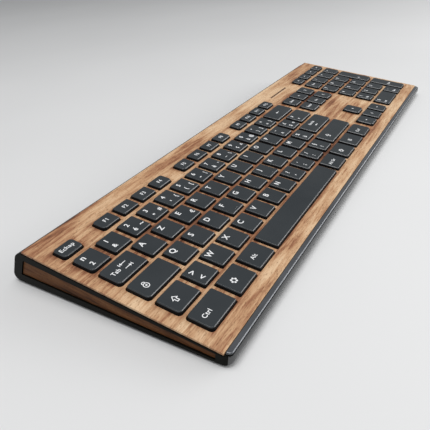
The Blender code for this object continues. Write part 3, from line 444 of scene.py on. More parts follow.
def carried_over(node, name, edge, segments=2, cuts=()):
    """A finer copy of a CAD node with whole flat faces and broken edges, which stands for the node."""
    bm = bmesh.new()
    bm.from_mesh(frame["nodes"][node].data)
    bmesh.ops.remove_doubles(bm, verts=bm.verts, dist=0.002 * MM)
    bmesh.ops.dissolve_limit(bm, angle_limit=math.radians(0.5), verts=bm.verts, edges=bm.edges)
    piece = new_piece(name, mesh_from(bm, name))
    if cuts:
        cut(piece, cuts)
    soften(piece, edge, segments)
    piece.data.materials.clear()
    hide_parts(node)
    return piece


def lathe(profile, steps, axis="Z"):
    """A turned body from (radius, height) points, from its axis at one end to its axis at the other."""
    bm = bmesh.new()
    rings = []
    for radius, height in profile:
        if radius == 0:
            rings.append([bm.verts.new((0, 0, height))])
        else:
            turns = [2 * math.pi * i / steps for i in range(steps)]
            rings.append([bm.verts.new((radius * math.cos(a), radius * math.sin(a), height)) for a in turns])
    for low, high in zip(rings, rings[1:]):
        for i in range(steps):
            j = (i + 1) % steps
            corners = [low[i % len(low)], low[j % len(low)], high[j % len(high)], high[i % len(high)]]
            bm.faces.new(list(dict.fromkeys(corners)))
    if axis == "X":
        bmesh.ops.rotate(bm, cent=(0, 0, 0), matrix=Matrix.Rotation(math.pi / 2, 3, "Y"), verts=bm.verts)
    return bm


def screw_hole(x, y):
    """The countersink and through hole for one screw, in world coordinates."""
    head = SCREW_HEAD / 2 + 0.25 * MM
    shank = SCREW_SHANK / 2 + 0.2 * MM
    floor = SCREW_SINK + HEAD_THICKNESS
    hole = lathe([(0, -1 * MM), (head, -1 * MM), (head, floor), (shank, floor), (shank, 3 * MM), (0, 3 * MM)],
                 SCREW_SIDES)
    bmesh.ops.transform(hole, matrix=BASE @ Matrix.Translation((x, y, 0)), verts=hole.verts)
    return hole


cover = carried_over("bottom_cover", "bottom_cover_moulding", 0.0,
                     cuts=[screw_hole(*spot) for spot in SCREW_SPOTS])
paint(cover, spark_finish("charcoal_cover_plastic", (0.011, 0.012, 0.011), (0.017, 0.018, 0.017),
                          0.5, 0.5 * MM, 0.03 * MM))
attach(cover, "case")

screw_steel = clouded_finish("black_zinc_screw_steel", 900.0, 3.0,
                             [(0.3, (0.05, 0.05, 0.055)), (0.7, (0.12, 0.12, 0.13))],
                             (0.3, 0.5), 0.01 * MM, Metallic=1.0)

for number, (x, y) in enumerate(SCREW_SPOTS):
    head, shank = SCREW_HEAD / 2, SCREW_SHANK / 2
    rim = 0.25 * MM
    tip = 4.0 * MM
    body = lathe([(0, 0.15 * MM), (head * 0.55, 0.06 * MM), (head - rim, 0.1 * MM), (head, rim + 0.1 * MM),
                  (head, HEAD_THICKNESS * 0.6), (shank, HEAD_THICKNESS), (shank, tip - 0.8 * MM), (0, tip)],
                 SCREW_SIDES)
    screw = new_piece("cover_screw_%d" % (number + 1), mesh_from(body, "cover_screw"))
    slots = []
    for turn in (SCREW_TURN * number, SCREW_TURN * number + math.pi / 2):
        slot = block(*CROSS_SLOT)
        bmesh.ops.rotate(slot, cent=(0, 0, 0), matrix=Matrix.Rotation(turn, 3, "Z"), verts=slot.verts)
        slots.append(slot)
    cut(screw, slots)
    screw.data.transform(BASE @ Matrix.Translation((x, y, SCREW_SINK)))
    soften(screw, 0.0, angle=30)
    paint(screw, screw_steel)
    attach(screw, "case")

# ---- Rubber feet ----
# Four soft black rubber pads, die-cut with round ends and glued into shallow seats in the cover.
# Their faces are lightly ribbed so that the keyboard doesn't slide on a desk.

FOOT_ROUNDING = 0.35 * MM


def rounded_loop(x0, x1, y0, y1, radii, steps=5):
    """Points of a rectangle with its own corner radius at the left end and at the right end."""
    corners = ((x0, y0, radii[0], 180), (x1, y0, radii[1], 270),
               (x1, y1, radii[1], 0), (x0, y1, radii[0], 90))
    points = []
    for x, y, radius, start in corners:
        centre = (x + radius * (1 if x == x0 else -1), y + radius * (1 if y == y0 else -1))
        points += arc(centre, (radius, radius), start, start + 90, steps)
    return points


def stacked(loops):
    """A closed body from flat outlines one above the other, each given as (points, height)."""
    return skinned([[(x, y, z) for x, y in points] for points, z in loops])


foot_rubber, tree, shader, place = new_finish("black_foot_rubber")
cloud = grain(tree, place, 220.0, 4.0)
ribs = add_node(tree, "ShaderNodeTexWave", {"Vector": place, "Scale": 260.0, "Distortion": 0.0},
                bands_direction="X").outputs["Fac"]
coated(tree, shader, cloud, [(0.3, (0.012, 0.012, 0.012)), (0.75, (0.028, 0.027, 0.026))],
       cloud, (0.3, 0.7, 0.75, 0.92), ribs, 0.05 * MM, 0.7)

for end in ("front_left", "front_right", "back_left", "back_right"):
    low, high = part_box("rubber_foot_" + end)
    radius = (high.y - low.y) / 2 - FOOT_ROUNDING
    loops = []
    for inset, z in ((FOOT_ROUNDING, low.z), (0.1 * MM, low.z + 0.1 * MM), (0.0, low.z + FOOT_ROUNDING),
                     (0.0, high.z - 0.1 * MM), (0.1 * MM, high.z)):
        reach = radius + FOOT_ROUNDING - inset - 0.05 * MM
        loops.append((rounded_loop(low.x + inset, high.x - inset, low.y + inset, high.y - inset,
                                   (reach, reach), 8), z))
    foot = new_piece("rubber_pad_" + end, mesh_from(stacked(loops), "rubber_pad"))
    soften(foot, 0.0, angle=50)
    paint(foot, foot_rubber)
    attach(foot, "case")
    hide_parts("rubber_foot_" + end)

# ---- Tilt legs, battery door and power switch ----
# Small mouldings of the same ABS as the case. The legs and the door turn on pins that snap into the cover.
# The legs and the door have three raised ridges to push on, and the switch's ridged knob slides in a slot.


def with_ridges(piece, ridges):
    """Adds raised ridges, each a rounded bar given by its low and high corner, to a piece's mesh."""
    bm = bmesh.new()
    bm.from_mesh(piece.data)
    for low, high in ridges:
        radius = min(high[0] - low[0], high[1] - low[1]) / 2
        edge = 0.1 * MM
        loops = []
        for inset, z in ((edge, low[2]), (0.0, low[2] + edge), (0.0, high[2])):
            loops.append((rounded_loop(low[0] + inset, high[0] - inset, low[1] + inset, high[1] - inset,
                                       (radius - inset - 0.01 * MM,) * 2, 3), z))
        bar = mesh_from(stacked(loops), "ridge")
        bm.from_mesh(bar)
        bpy.data.meshes.remove(bar)
    bm.to_mesh(piece.data)
    bm.free()
    piece.data.shade_smooth()
    piece.data.set_sharp_from_angle(angle=math.radians(40))
    return piece


small_plastic = spark_finish("charcoal_small_parts_plastic", (0.010, 0.011, 0.011), (0.016, 0.017, 0.017),
                             0.42, 0.3 * MM, 0.01 * MM)
LEG_EDGE, SWITCH_EDGE = 0.25 * MM, 0.12 * MM
RIDGE_COUNT = 3
RIDGE_ROOT, RIDGE_RISE = 0.2 * MM, 0.3 * MM
FIRST_RIDGE = 2.2 * MM            # from the free edge of a leg or of the door
# node, broken edge, ridge length, ridge width and spacing
SMALL_PARTS = (("tilt_leg_left", LEG_EDGE, 12 * MM, 0.8 * MM, 1.8 * MM),
               ("tilt_leg_right", LEG_EDGE, 12 * MM, 0.8 * MM, 1.8 * MM),
               ("battery_door", LEG_EDGE, 16 * MM, 0.8 * MM, 1.8 * MM),
               ("power_switch", SWITCH_EDGE, 2.6 * MM, 0.35 * MM, 0.9 * MM))
for node, edge, ridge_length, ridge_width, spacing in SMALL_PARTS:
    low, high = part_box(node)
    piece = carried_over(node, node + "_moulding", edge)
    centre_x = (low.x + high.x) / 2
    first_y = (low.y + high.y) / 2 - spacing if node == "power_switch" else low.y + FIRST_RIDGE
    ridges = []
    for y in (first_y + i * spacing for i in range(RIDGE_COUNT)):
        ridges.append(((centre_x - ridge_length / 2, y, low.z - RIDGE_ROOT),
                       (centre_x + ridge_length / 2, y + ridge_width, low.z + RIDGE_RISE)))
    with_ridges(piece, ridges)
    paint(piece, small_plastic)
    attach(piece, node)

# ---- Battery cells and contacts ----
# Two AAA cells lie end to end in the bay. Each is a drawn steel can in a plain sleeve with a nickel
# plated positive cap, held by springy nickel plated leaves at both ends of the bay and between the cells.

CELL_SIDES = 48
NUB_RADIUS = 1.8 * MM
NUB_LENGTH = 1.0 * MM
CAN_RIM = 0.5 * MM
sleeve = clouded_finish("plain_battery_sleeve", 400.0, 5.0,
                        [(0.35, (0.10, 0.105, 0.115)), (0.7, (0.17, 0.175, 0.185))],
                        (0.25, 0.45), 0.004 * MM, Coat_Weight=0.4, Coat_Roughness=0.15)
nickel = clouded_finish("nickel_plate", 1500.0, 2.0,
                        [(0.3, (0.55, 0.53, 0.50)), (0.7, (0.72, 0.70, 0.67))],
                        (0.18, 0.35), 0.003 * MM, Metallic=1.0)

for side in ("left", "right"):
    low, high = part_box("battery_" + side)
    radius = (high.z - low.z) / 2
    length = high.x - low.x
    can = length - NUB_LENGTH
    body = lathe([(0, 0), (radius * 0.72, 0), (radius * 0.8, 0.2 * MM), (radius - 0.15 * MM, 0.05 * MM),
                  (radius, 0.3 * MM), (radius, can - CAN_RIM), (radius - CAN_RIM, can),
                  (NUB_RADIUS + CAN_RIM, can), (NUB_RADIUS, can + 0.15 * MM),
                  (NUB_RADIUS, length - 0.2 * MM), (NUB_RADIUS - 0.2 * MM, length), (0, length)],
                 CELL_SIDES, axis="X")
    place_x = Matrix.Translation((low.x, (low.y + high.y) / 2, (low.z + high.z) / 2))
    cell = new_piece("aaa_cell_" + side, mesh_from(body, "aaa_cell"), place_x)
    soften(cell, 0.0, angle=35)
    paint(cell, sleeve, nickel)
    for face in cell.data.polygons:
        along = face.center.x - low.x
        face.material_index = 1 if along > can - 0.7 * MM or along < 0.25 * MM else 0
    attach(cell, "case")
    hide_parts("battery_" + side)

cells_low, cells_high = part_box("battery_left")[0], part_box("battery_right")[1]
between = (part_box("battery_left")[1].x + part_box("battery_right")[0].x) / 2
LEAF = 0.25 * MM
LEAF_SWELL = 0.18 * MM
LEAF_MARGIN = 1.5 * MM            # from the edge of a leaf to the side of the cells
LEAF_STAND = 0.55 * MM            # from the end of a cell to the middle of its leaf
LEAF_STEPS = 10
for name, x, swell in (("left", cells_low.x - LEAF_STAND, LEAF_SWELL), ("middle", between, 0.0),
                       ("right", cells_high.x + LEAF_STAND, -LEAF_SWELL)):
    height = (cells_low.z + LEAF_MARGIN, cells_high.z - LEAF_MARGIN)
    width = (cells_low.y + LEAF_MARGIN, cells_high.y - LEAF_MARGIN)
    bm = bmesh.new()
    verts = {}
    for i in range(LEAF_STEPS + 1):
        for j in range(LEAF_STEPS + 1):
            for face_side in (0, 1):
                u, v = i / LEAF_STEPS, j / LEAF_STEPS
                bend = swell * math.cos((u - 0.5) * math.pi) * math.cos((v - 0.5) * math.pi)
                verts[i, j, face_side] = bm.verts.new((x + bend + (face_side - 0.5) * LEAF,
                                                       width[0] + u * (width[1] - width[0]),
                                                       height[0] + v * (height[1] - height[0])))
    for i in range(LEAF_STEPS):
        for j in range(LEAF_STEPS):
            for face_side in (0, 1):
                bm.faces.new([verts[i, j, face_side], verts[i + 1, j, face_side],
                              verts[i + 1, j + 1, face_side], verts[i, j + 1, face_side]])
    for i in range(LEAF_STEPS):
        for a, b in (((i, 0), (i + 1, 0)), ((i, LEAF_STEPS), (i + 1, LEAF_STEPS)),
                     ((0, i), (0, i + 1)), ((LEAF_STEPS, i), (LEAF_STEPS, i + 1))):
            bm.faces.new([verts[(*a, 0)], verts[(*b, 0)], verts[(*b, 1)], verts[(*a, 1)]])
    leaf = new_piece("battery_contact_" + name, mesh_from(bm, "battery_contact"))
    soften(leaf, 0.0)
    paint(leaf, nickel)
    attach(leaf, "case")

# ---- Circuit board, key plate, circuit film and dome sheet ----
# The layers under the keys: a small green glass-fibre board with tinned tracks, a rolled steel plate, two
# printed polyester films with silver tracks, and a moulded sheet of charcoal silicone domes.

board, tree, shader, place = new_finish("green_circuit_board", Coat_Weight=0.5, Coat_Roughness=0.2)
tracks = add_node(tree, "ShaderNodeTexBrick", {
    "Vector": place, "Scale": 260.0, "Mortar Size": 0.06, "Mortar": (0.05, 0.20, 0.08, 1),
    "Color1": (0.012, 0.09, 0.03, 1), "Color2": (0.02, 0.12, 0.045, 1)}).outputs
speckle = grain(tree, place, 2500.0, 2.0)
mixed = add_node(tree, "ShaderNodeMix", {0: speckle, 6: tracks["Color"], 7: (0.01, 0.07, 0.03, 1)},
                 data_type="RGBA")
tree.links.new(mixed.outputs[2], shader.inputs["Base Color"])
tree.links.new(levels(tree, speckle, 0.3, 0.7, 0.3, 0.5), shader.inputs["Roughness"])
bumped(tree, shader, tracks["Fac"], 0.03 * MM)

plate_steel, tree, shader, place = new_finish("rolled_plate_steel", Metallic=1.0)
rolled = grain(tree, stretched(tree, place, (60.0, 3000.0, 60.0)), 1.0, 3.0)
coated(tree, shader, rolled, [(0.3, (0.42, 0.43, 0.44)), (0.7, (0.58, 0.59, 0.60))],
       rolled, (0.3, 0.7, 0.28, 0.45), rolled, 0.004 * MM)

film, tree, shader, place = new_finish("printed_circuit_film", Coat_Weight=0.6, Coat_Roughness=0.1)
lines = add_node(tree, "ShaderNodeTexWave", {
    "Vector": stretched(tree, place, (1.0, 1.0, 1.0)), "Scale": 170.0, "Distortion": 6.0, "Detail": 1.0},
    bands_direction="Y").outputs["Fac"]
coated(tree, shader, lines, [(0.72, (0.50, 0.56, 0.52)), (0.8, (0.66, 0.66, 0.64))],
       lines, (0.7, 0.8, 0.22, 0.4), lines, 0.008 * MM)

silicone, tree, shader, place = new_finish("charcoal_silicone", Specular_IOR_Level=0.2)
cloud = grain(tree, place, 120.0, 4.0)
coated(tree, shader, cloud, [(0.3, (0.010, 0.011, 0.012)), (0.7, (0.018, 0.019, 0.020))],
       cloud, (0.3, 0.7, 0.5, 0.7), grain(tree, place, 1800.0, 2.0), 0.01 * MM)

for node, finish in (("controller_board", board), ("key_plate", plate_steel), ("circuit_membrane", film),
                     ("dome_sheet", silicone)):
    paint(frame["nodes"][node], finish)

# ---- Wooden end inlays ----
# A dark-stained walnut strip is glued into the pocket in each end of the case, a little below its face.
# The grain runs from front to back, and its edges are lightly broken with sandpaper.


def wood_finish(name, tones, fibre, figure, coat, gleam, turned_grain=False, start=(0, 0, 0), stain=None):
    """Walnut: broad bands of colour, fine fibres and short dark pores that all follow the grain."""
    material, tree, shader, place = new_finish(name, Coat_Weight=coat, Coat_Roughness=0.35,
                                               Specular_IOR_Level=gleam)

    def along(length, width):
        scale = (1 / width, 1 / length, 1 / width) if turned_grain else (1 / length, 1 / width, 1 / width)
        shifted = reckoned(tree, "ADD", place, start, kind="ShaderNodeVectorMath")
        return stretched(tree, shifted, scale)

    bands = grain(tree, along(*figure), 1.0, 3.0, 0.5, 1.6)
    drift = grain(tree, along(figure[0] * 0.8, figure[1] * 4.5), 1.0, 2.0, 0.5, 0.6)
    flecks = grain(tree, along(figure[0] * 0.16, figure[1] * 0.28), 1.0, 3.0, 0.6, 0.4)
    fibres = grain(tree, along(*fibre), 1.0, 4.0, 0.7)
    pores = grain(tree, along(fibre[0] * 0.24, fibre[1] * 0.55), 1.0, 2.0, 0.5)
    tone = 0.0 if stain is None else stain(tree, place)
    for value, share in ((fibres, 0.17), (flecks, 0.15), (drift, 0.34), (bands, 0.34)):
        tone = reckoned(tree, "MULTIPLY_ADD", value, share, tone)
    colour = ramp(tree, tone, tones)
    pits = levels(tree, pores, 0.57, 0.70, 0.0, 1.0)
    pit_colour = reckoned(tree, "MULTIPLY", colour, (0.50, 0.42, 0.36), kind="ShaderNodeVectorMath")
    shaded = add_node(tree, "ShaderNodeMix", {0: pits, 6: colour, 7: pit_colour}, data_type="RGBA")
    tree.links.new(shaded.outputs[2], shader.inputs["Base Color"])
    tree.links.new(levels(tree, fibres, 0.3, 0.7, 0.42, 0.6), shader.inputs["Roughness"])
    bumped(tree, shader, reckoned(tree, "SUBTRACT", fibres, pits), 0.05 * MM, 0.7)
    return material


dark_walnut = wood_finish("dark_stained_walnut",
                          [(0.36, (0.022, 0.009, 0.004)), (0.45, (0.085, 0.032, 0.012)),
                           (0.54, (0.155, 0.064, 0.024)), (0.66, (0.23, 0.105, 0.042))],
                          (7.0 * MM, 0.5 * MM), (45.0 * MM, 4.0 * MM), 0.0, 0.08, turned_grain=True)
INLAY_SINK = 0.9 * MM
INLAY_FIT = 0.06 * MM
for side, x0, x1 in (("left", CASE_LEFT + INLAY_SINK, CASE_LEFT + INLAY_POCKET - INLAY_FIT),
                     ("right", CASE_RIGHT - INLAY_POCKET + INLAY_FIT, CASE_RIGHT - INLAY_SINK)):
    strip = prism(moved_in(inlay_profile(), INLAY_FIT), x0, x1)
    inlay = new_piece("walnut_inlay_" + side, mesh_from(strip, "walnut_inlay_" + side), DECK)
    soften(inlay, 0.2 * MM, 3)
    paint(inlay, dark_walnut)
    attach(inlay, "case")
    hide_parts("side_inlay_" + side)

# ---- Front trim ----
# A slim bar of painted dark blue-grey metal lies in front of the wood, with round ends and a polished bevel.
# It is pressed into the case's seat and closes the wood's front edge.

trim = carried_over("front_trim", "front_trim_bar", 0.22 * MM, 3)
trim_paint, tree, shader, place = new_finish("dark_blue_grey_paint", Metallic=0.55, Coat_Weight=0.5,
                                             Coat_Roughness=0.12)
flake = grain(tree, place, 2600.0, 2.0)
coated(tree, shader, grain(tree, place, 40.0, 3.0),
       [(0.3, (0.088, 0.093, 0.103)), (0.7, (0.125, 0.131, 0.142))],
       flake, (0.3, 0.7, 0.24, 0.36), flake, 0.004 * MM)
paint(trim, trim_paint)
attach(trim, "case")

# ---- Wooden top panel and status window ----
# The top is a 1.2 mm walnut panel with its grain along the key rows. Its key windows are cut by laser, which
# darkens their edges, and it is glued into the seat of the case. A smoked window fills the slot at the back.
# Its colour is lightened along the front as painted light, and darkened on the bars between keys, partly as
# laser burn and partly as painted shade between the caps.

PITCH = 19.0 * MM
KEY_GAP_X = 4.4 * MM
KEY_GAP_Y = 3.6 * MM
KEY_FLARE = 0.33 * MM
WINDOW_CLEARANCE = 0.45 * MM
FUNCTION_FRONT = 5 * PITCH - KEY_GAP_Y / 2 + 5.0 * MM
FUNCTION_DEPTH = 10.2 * MM
FUNCTION_BACK = FUNCTION_FRONT + FUNCTION_DEPTH
NAVIGATION = 15.25
NUMPAD = 18.5
FUNCTION = "function"
BANK_STEP = 4.64
CAP_CORNER = 0.9 * MM
END_CORNER = 2.3 * MM

# body, first column, row, cap widths, rows, cap height, and the legends from left to right and row by row
BANKS = (
    ("key_escape", 0.0, FUNCTION, (1,), 1, 1, ["Echap"]),
    ("keys_f1_f4", 11 - 2 * BANK_STEP, FUNCTION, (1,) * 4, 1, 1, ["F1", "F2", "F3", "F4"]),
    ("keys_f5_f8", 11 - BANK_STEP, FUNCTION, (1,) * 4, 1, 1, ["F5", "F6", "F7", "F8"]),
    ("keys_f9_f12", 11, FUNCTION, (1,) * 4, 1, 1, ["F9", "F10", "F11", "F12"]),
    ("keys_media", NUMPAD, FUNCTION, (1,) * 4, 1, 1, ["@quiet", "@softer", "@louder", "@play"]),
    ("keys_numbers_left", 0.0, 4, (1,) * 7, 1, 1,
     ["n|2", "1|&", "2|é|~", "3|\"|#", "4|'|{", "5|(|[", "6|-|¦"]),
    ("keys_numbers_right", 7.0, 4, (1,) * 6, 1, 1,
     ["7|è|`", "8|_|\\", "9|ç|^", "0|à|@", "°|)|]", "+|=|}"]),
    ("key_backspace", 13.0, 4, (2,), 1, 1, ["@back"]),
    ("key_tab", 0.0, 3, (1.5,), 1, 1, ["@tab"]),
    ("keys_letters_top_left", 1.5, 3, (1,) * 6, 1, 1, ["A", "Z", "E||€", "R", "T", "Y"]),
    ("keys_letters_top_right", 7.5, 3, (1,) * 6, 1, 1, ["U", "I", "O", "P", "¨|^", "£|$|¤"]),
    ("key_asterisk", 13.5, 3, (1.5,), 1, 1, ["µ|*"]),
    ("key_caps_lock", 0.0, 2, (1.75,), 1, 1, ["@lock"]),
    ("keys_letters_home_left", 1.75, 2, (1,) * 6, 1, 1, ["Q", "S", "D", "F", "G", "H"]),
    ("keys_letters_home_right", 7.75, 2, (1,) * 5, 1, 1, ["J", "K", "L", "M", "%|ù"]),
    ("key_enter", 12.75, 2, (2.25,), 1, 1, ["@enter"]),
    ("key_left_shift", 0.0, 1, (1.25,), 1, 1, ["@shift"]),
    ("keys_letters_low_left", 1.25, 1, (1,) * 6, 1, 1, [">|<", "W", "X", "C", "V", "B"]),
    ("keys_letters_low_right", 7.25, 1, (1,) * 5, 1, 1, ["N", "?|,", ".|;", "/|:", "§|!"]),
    ("key_right_shift", 12.25, 1, (2.75,), 1, 1, ["@shift"]),
    ("key_left_ctrl", 0.0, 0, (1.5,), 1, 1, ["Ctrl"]),
    ("key_left_system", 1.5, 0, (1.25,), 1, 1, ["@system"]),
    ("key_left_alt", 2.75, 0, (1.25,), 1, 1, ["Alt"]),
    ("key_space", 4.0, 0, (6,), 1, 1, [""]),
    ("key_right_alt", 10.0, 0, (1.25,), 1, 1, ["Alt Gr"]),
    ("key_right_system", 11.25, 0, (1.25,), 1, 1, ["@system"]),
    ("key_menu", 12.5, 0, (1.25,), 1, 1, ["@menu"]),
    ("key_right_ctrl", 13.75, 0, (1.25,), 1, 1, ["Ctrl"]),
    ("key_arrow_up", NAVIGATION + 1, 1, (1,), 1, 1, ["@up"]),
    ("key_arrow_left", NAVIGATION, 0, (1,), 1, 1, ["@left"]),
    ("key_arrow_down", NAVIGATION + 1, 0, (1,), 1, 1, ["@down"]),
    ("key_arrow_right", NAVIGATION + 2, 0, (1,), 1, 1, ["@right"]),
    ("keys_navigation", NAVIGATION, 3, (1,) * 3, 2, 1,
     ["Suppr", "Fin", "@page_down", "Inser", "@home", "@page_up"]),
    ("keys_numpad_top", NUMPAD, 4, (1,) * 4, 1, 1, ["Verr", "/|", "*|", "-|"]),
    ("keys_numpad_digits", NUMPAD, 1, (1,) * 3, 3, 1,
     ["1|Fin", "2|", "3|", "4|", "5|", "6|", "7|", "8|", "9|"]),
    ("key_numpad_zero", NUMPAD, 0, (2,), 1, 1, ["0|Ins"]),
    ("key_numpad_decimal", NUMPAD + 2, 0, (1,), 1, 1, [".|Sup"]),
    ("key_numpad_plus", NUMPAD + 3, 2, (1,), 1, 2, ["+"]),
    ("key_numpad_enter", NUMPAD + 3, 0, (1,), 1, 2, ["@enter"]),
)


def bank_caps(column, row, widths, rows, height):
    """Every cap of a bank as (column, row, width, height)."""
    caps = []
    for level in range(rows):
        x = column
        for width in widths:
            caps.append((x, row if row == FUNCTION else row + level, width, height))
            x += width
    return caps


ALL_CAPS = [cap for bank in BANKS for cap in bank_caps(*bank[1:6])]


def cap_top(cap):
    """The edges of a cap's top in the deck frame: x0, x1, y0, y1."""
    column, row, width, height = cap
    x0 = column * PITCH + KEY_GAP_X / 2
    x1 = (column + width) * PITCH - KEY_GAP_X / 2
    if row == FUNCTION:
        return x0, x1, FUNCTION_FRONT, FUNCTION_BACK
    return x0, x1, row * PITCH + KEY_GAP_Y / 2, (row + height) * PITCH - KEY_GAP_Y / 2


def cap_corners(cap):
    """Corner radii at the left and right end: larger where no other cap follows in the row."""
    in_row = [other for other in ALL_CAPS if other[1] == cap[1]]
    meets_left = any(abs(other[0] + other[2] - cap[0]) < 0.01 for other in in_row)
    meets_right = any(abs(other[0] - cap[0] - cap[2]) < 0.01 for other in in_row)
    return [CAP_CORNER if meets else END_CORNER for meets in (meets_left, meets_right)]


def as_mesh(curve):
    """The mesh of a curve or text."""
    source = bpy.data.objects.new("source", curve)
    bpy.context.scene.collection.objects.link(source)
    mesh = bpy.data.meshes.new_from_object(source.evaluated_get(bpy.context.evaluated_depsgraph_get()))
    bpy.data.objects.remove(source)
    return mesh


def flat_sheet(name, outlines, thickness):
    """A flat slab centred on its plane: the first outline is its edge and the others are holes."""
    curve = bpy.data.curves.new(name, "CURVE")
    curve.dimensions = "2D"
    curve.fill_mode = "BOTH"
    curve.extrude = thickness / 2
    for outline in outlines:
        spline = curve.splines.new("POLY")
        spline.points.add(len(outline) - 1)
        for point, (x, y) in zip(spline.points, outline):
            point.co = (x, y, 0, 1)
        spline.use_cyclic_u = True
    bm = bmesh.new()
    bm.from_mesh(as_mesh(curve))
    bmesh.ops.remove_doubles(bm, verts=bm.verts, dist=0.001 * MM)
    return mesh_from(bm, name)


SLOT_LENGTH = 38.0 * MM
SLOT_WIDTH = 2.1 * MM
slot_x = (NAVIGATION + 1.5) * PITCH
slot_y = FUNCTION_BACK
outlines = [[(CASE_LEFT, PANEL_FRONT), (CASE_RIGHT, PANEL_FRONT),
             (CASE_RIGHT, PANEL_BACK), (CASE_LEFT, PANEL_BACK)]]
reach = KEY_FLARE + WINDOW_CLEARANCE
for cap in ALL_CAPS:
    x0, x1, y0, y1 = cap_top(cap)
    outlines.append(rounded_loop(x0 - reach, x1 + reach, y0 - reach, y1 + reach, cap_corners(cap), 4))
outlines.append(rounded_loop(slot_x - SLOT_LENGTH / 2, slot_x + SLOT_LENGTH / 2,
                             slot_y - SLOT_WIDTH / 2, slot_y + SLOT_WIDTH / 2, (0.48 * SLOT_WIDTH,) * 2, 4))
panel_mesh = flat_sheet("walnut_top_panel", outlines, WOOD_TOP - WOOD_BOTTOM)
panel = new_piece("walnut_top_panel", panel_mesh,
                  DECK @ Matrix.Translation((0, 0, (WOOD_TOP + WOOD_BOTTOM) / 2)))
soften(panel, 0.12 * MM, 2, angle=60)

# Parts of the deck with their keys close together, where the bars between keys are darkened partly as laser
# burn and partly as painted shade: x0, x1, y0, y1
BURNT_AND_SHADED_AREAS = [(0, 15 * PITCH, 0, 5 * PITCH), (NUMPAD * PITCH, GRID_LENGTH, 0, 5 * PITCH),
            (NAVIGATION * PITCH, (NAVIGATION + 3) * PITCH, 3 * PITCH, 5 * PITCH),
            (NAVIGATION * PITCH, (NAVIGATION + 3) * PITCH, 0, PITCH),
            ((NAVIGATION + 1) * PITCH, (NAVIGATION + 2) * PITCH, PITCH, 2 * PITCH)]
for name, column, row, widths, *rest in BANKS:
    if row == FUNCTION:
        BURNT_AND_SHADED_AREAS.append((column * PITCH, (column + sum(widths)) * PITCH,
                         FUNCTION_FRONT - 1 * MM, FUNCTION_BACK + 1 * MM))


def panel_stain(tree, place):
    """The change of tone over the panel: darker and redder towards its left end, lighter along its front as
    painted light, and darker on the bars between keys, partly laser burn and partly painted shade.
    """
    deck_place = add_node(tree, "ShaderNodeMapping", {"Vector": place, "Location": to_deck.translation,
                                                      "Rotation": to_deck.to_euler()}).outputs[0]
    parts = add_node(tree, "ShaderNodeSeparateXYZ", {"Vector": deck_place}).outputs
    at_left = levels(tree, parts["X"], 0.0, 110 * MM, -0.030, 0.008)
    # Lighter towards the front: painted light.
    front_painted_light = levels(tree, parts["Y"], -10 * MM, 50 * MM, 0.022, 0.0)
    # Darker on the bars between keys: partly laser burn, partly painted shade between the caps.
    burn_and_painted_shade = 0.0
    for x0, x1, y0, y1 in BURNT_AND_SHADED_AREAS:
        apart = deck_place
        for operation, value in (("SUBTRACT", ((x0 + x1) / 2, (y0 + y1) / 2, 0)), ("ABSOLUTE", (0, 0, 0)),
                                 ("SUBTRACT", ((x1 - x0) / 2, (y1 - y0) / 2, 0))):
            apart = reckoned(tree, operation, apart, value, kind="ShaderNodeVectorMath")
        sides = add_node(tree, "ShaderNodeSeparateXYZ", {"Vector": apart}).outputs
        outside = reckoned(tree, "MAXIMUM", sides["X"], sides["Y"])
        burn_and_painted_shade = reckoned(tree, "MINIMUM", levels(tree, outside, -1.5 * MM, 2.0 * MM, -0.050, 0.0), burn_and_painted_shade)
    return reckoned(tree, "ADD", reckoned(tree, "ADD", at_left, front_painted_light), burn_and_painted_shade)


walnut = wood_finish("oiled_walnut",
                     [(0.34, (0.110, 0.040, 0.020)), (0.42, (0.300, 0.130, 0.064)),
                      (0.49, (0.520, 0.305, 0.165)), (0.58, (0.700, 0.490, 0.305))],
                     (9.0 * MM, 0.75 * MM), (95.0 * MM, 7.0 * MM), 0.05, 0.25, start=(0.31, 0.12, 0.0),
                     stain=panel_stain)
paint(panel, walnut)
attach(panel, "case")
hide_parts("wood_top_panel")

window = carried_over("status_window", "smoked_status_window", 0.08 * MM)
paint(window, clouded_finish("smoked_window_plastic", 300.0, 3.0,
                             [(0.3, (0.085, 0.034, 0.018)), (0.7, (0.125, 0.052, 0.028))], (0.12, 0.22),
                             0.003 * MM, Coat_Weight=0.15, Coat_Roughness=0.2, Specular_IOR_Level=0.2))
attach(window, "case")

# ---- Keycaps ----
# Each cap is a hollow moulding of dark slate ABS with a fine matt top, a glossy narrow bevel round the top
# and sides that spread down to the wood. The bevel's colour is a little lighter, a painted highlight, and the
# sides are much darker, painted shade. It rests on its silicone dome and moves square to the deck.

CAP_FOOT = -4.85 * MM
CAP_WALL = 1.0 * MM
CAP_TOP_WALL = 1.2 * MM
CAP_SPREAD = 0.56 * MM
SPREAD_END = -1.9 * MM
BEVEL = 0.38 * MM
FLAT_RISE, BEVEL_RISE = 0.95, 0.4             # the least z of the face normals of the top and of the bevel
BAR_HALF_LENGTH = 2.0 * MM
BAR_FRONT, BAR_BACK = 1.7 * MM, 2.3 * MM      # the homing bar's sides, from the front edge of the cap's top


def cap_body(cap):
    """One cap as a closed, hollow bmesh in the deck frame, with a softly rounded bevel round its top."""
    x0, x1, y0, y1 = cap_top(cap)
    corners = cap_corners(cap)

    def ring(inset):
        radii = [max(0.2 * MM, radius - inset) for radius in corners]
        return rounded_loop(x0 + inset, x1 - inset, y0 + inset, y1 - inset, radii, 4)

    return stacked([(ring(CAP_WALL), -CAP_TOP_WALL), (ring(CAP_WALL - CAP_SPREAD), CAP_FOOT),
                    (ring(-CAP_SPREAD), CAP_FOOT), (ring(-CAP_SPREAD), SPREAD_END),
                    (ring(-0.1 * MM), -BEVEL - 0.12 * MM), (ring(0.0), -BEVEL), (ring(BEVEL), 0.0)])


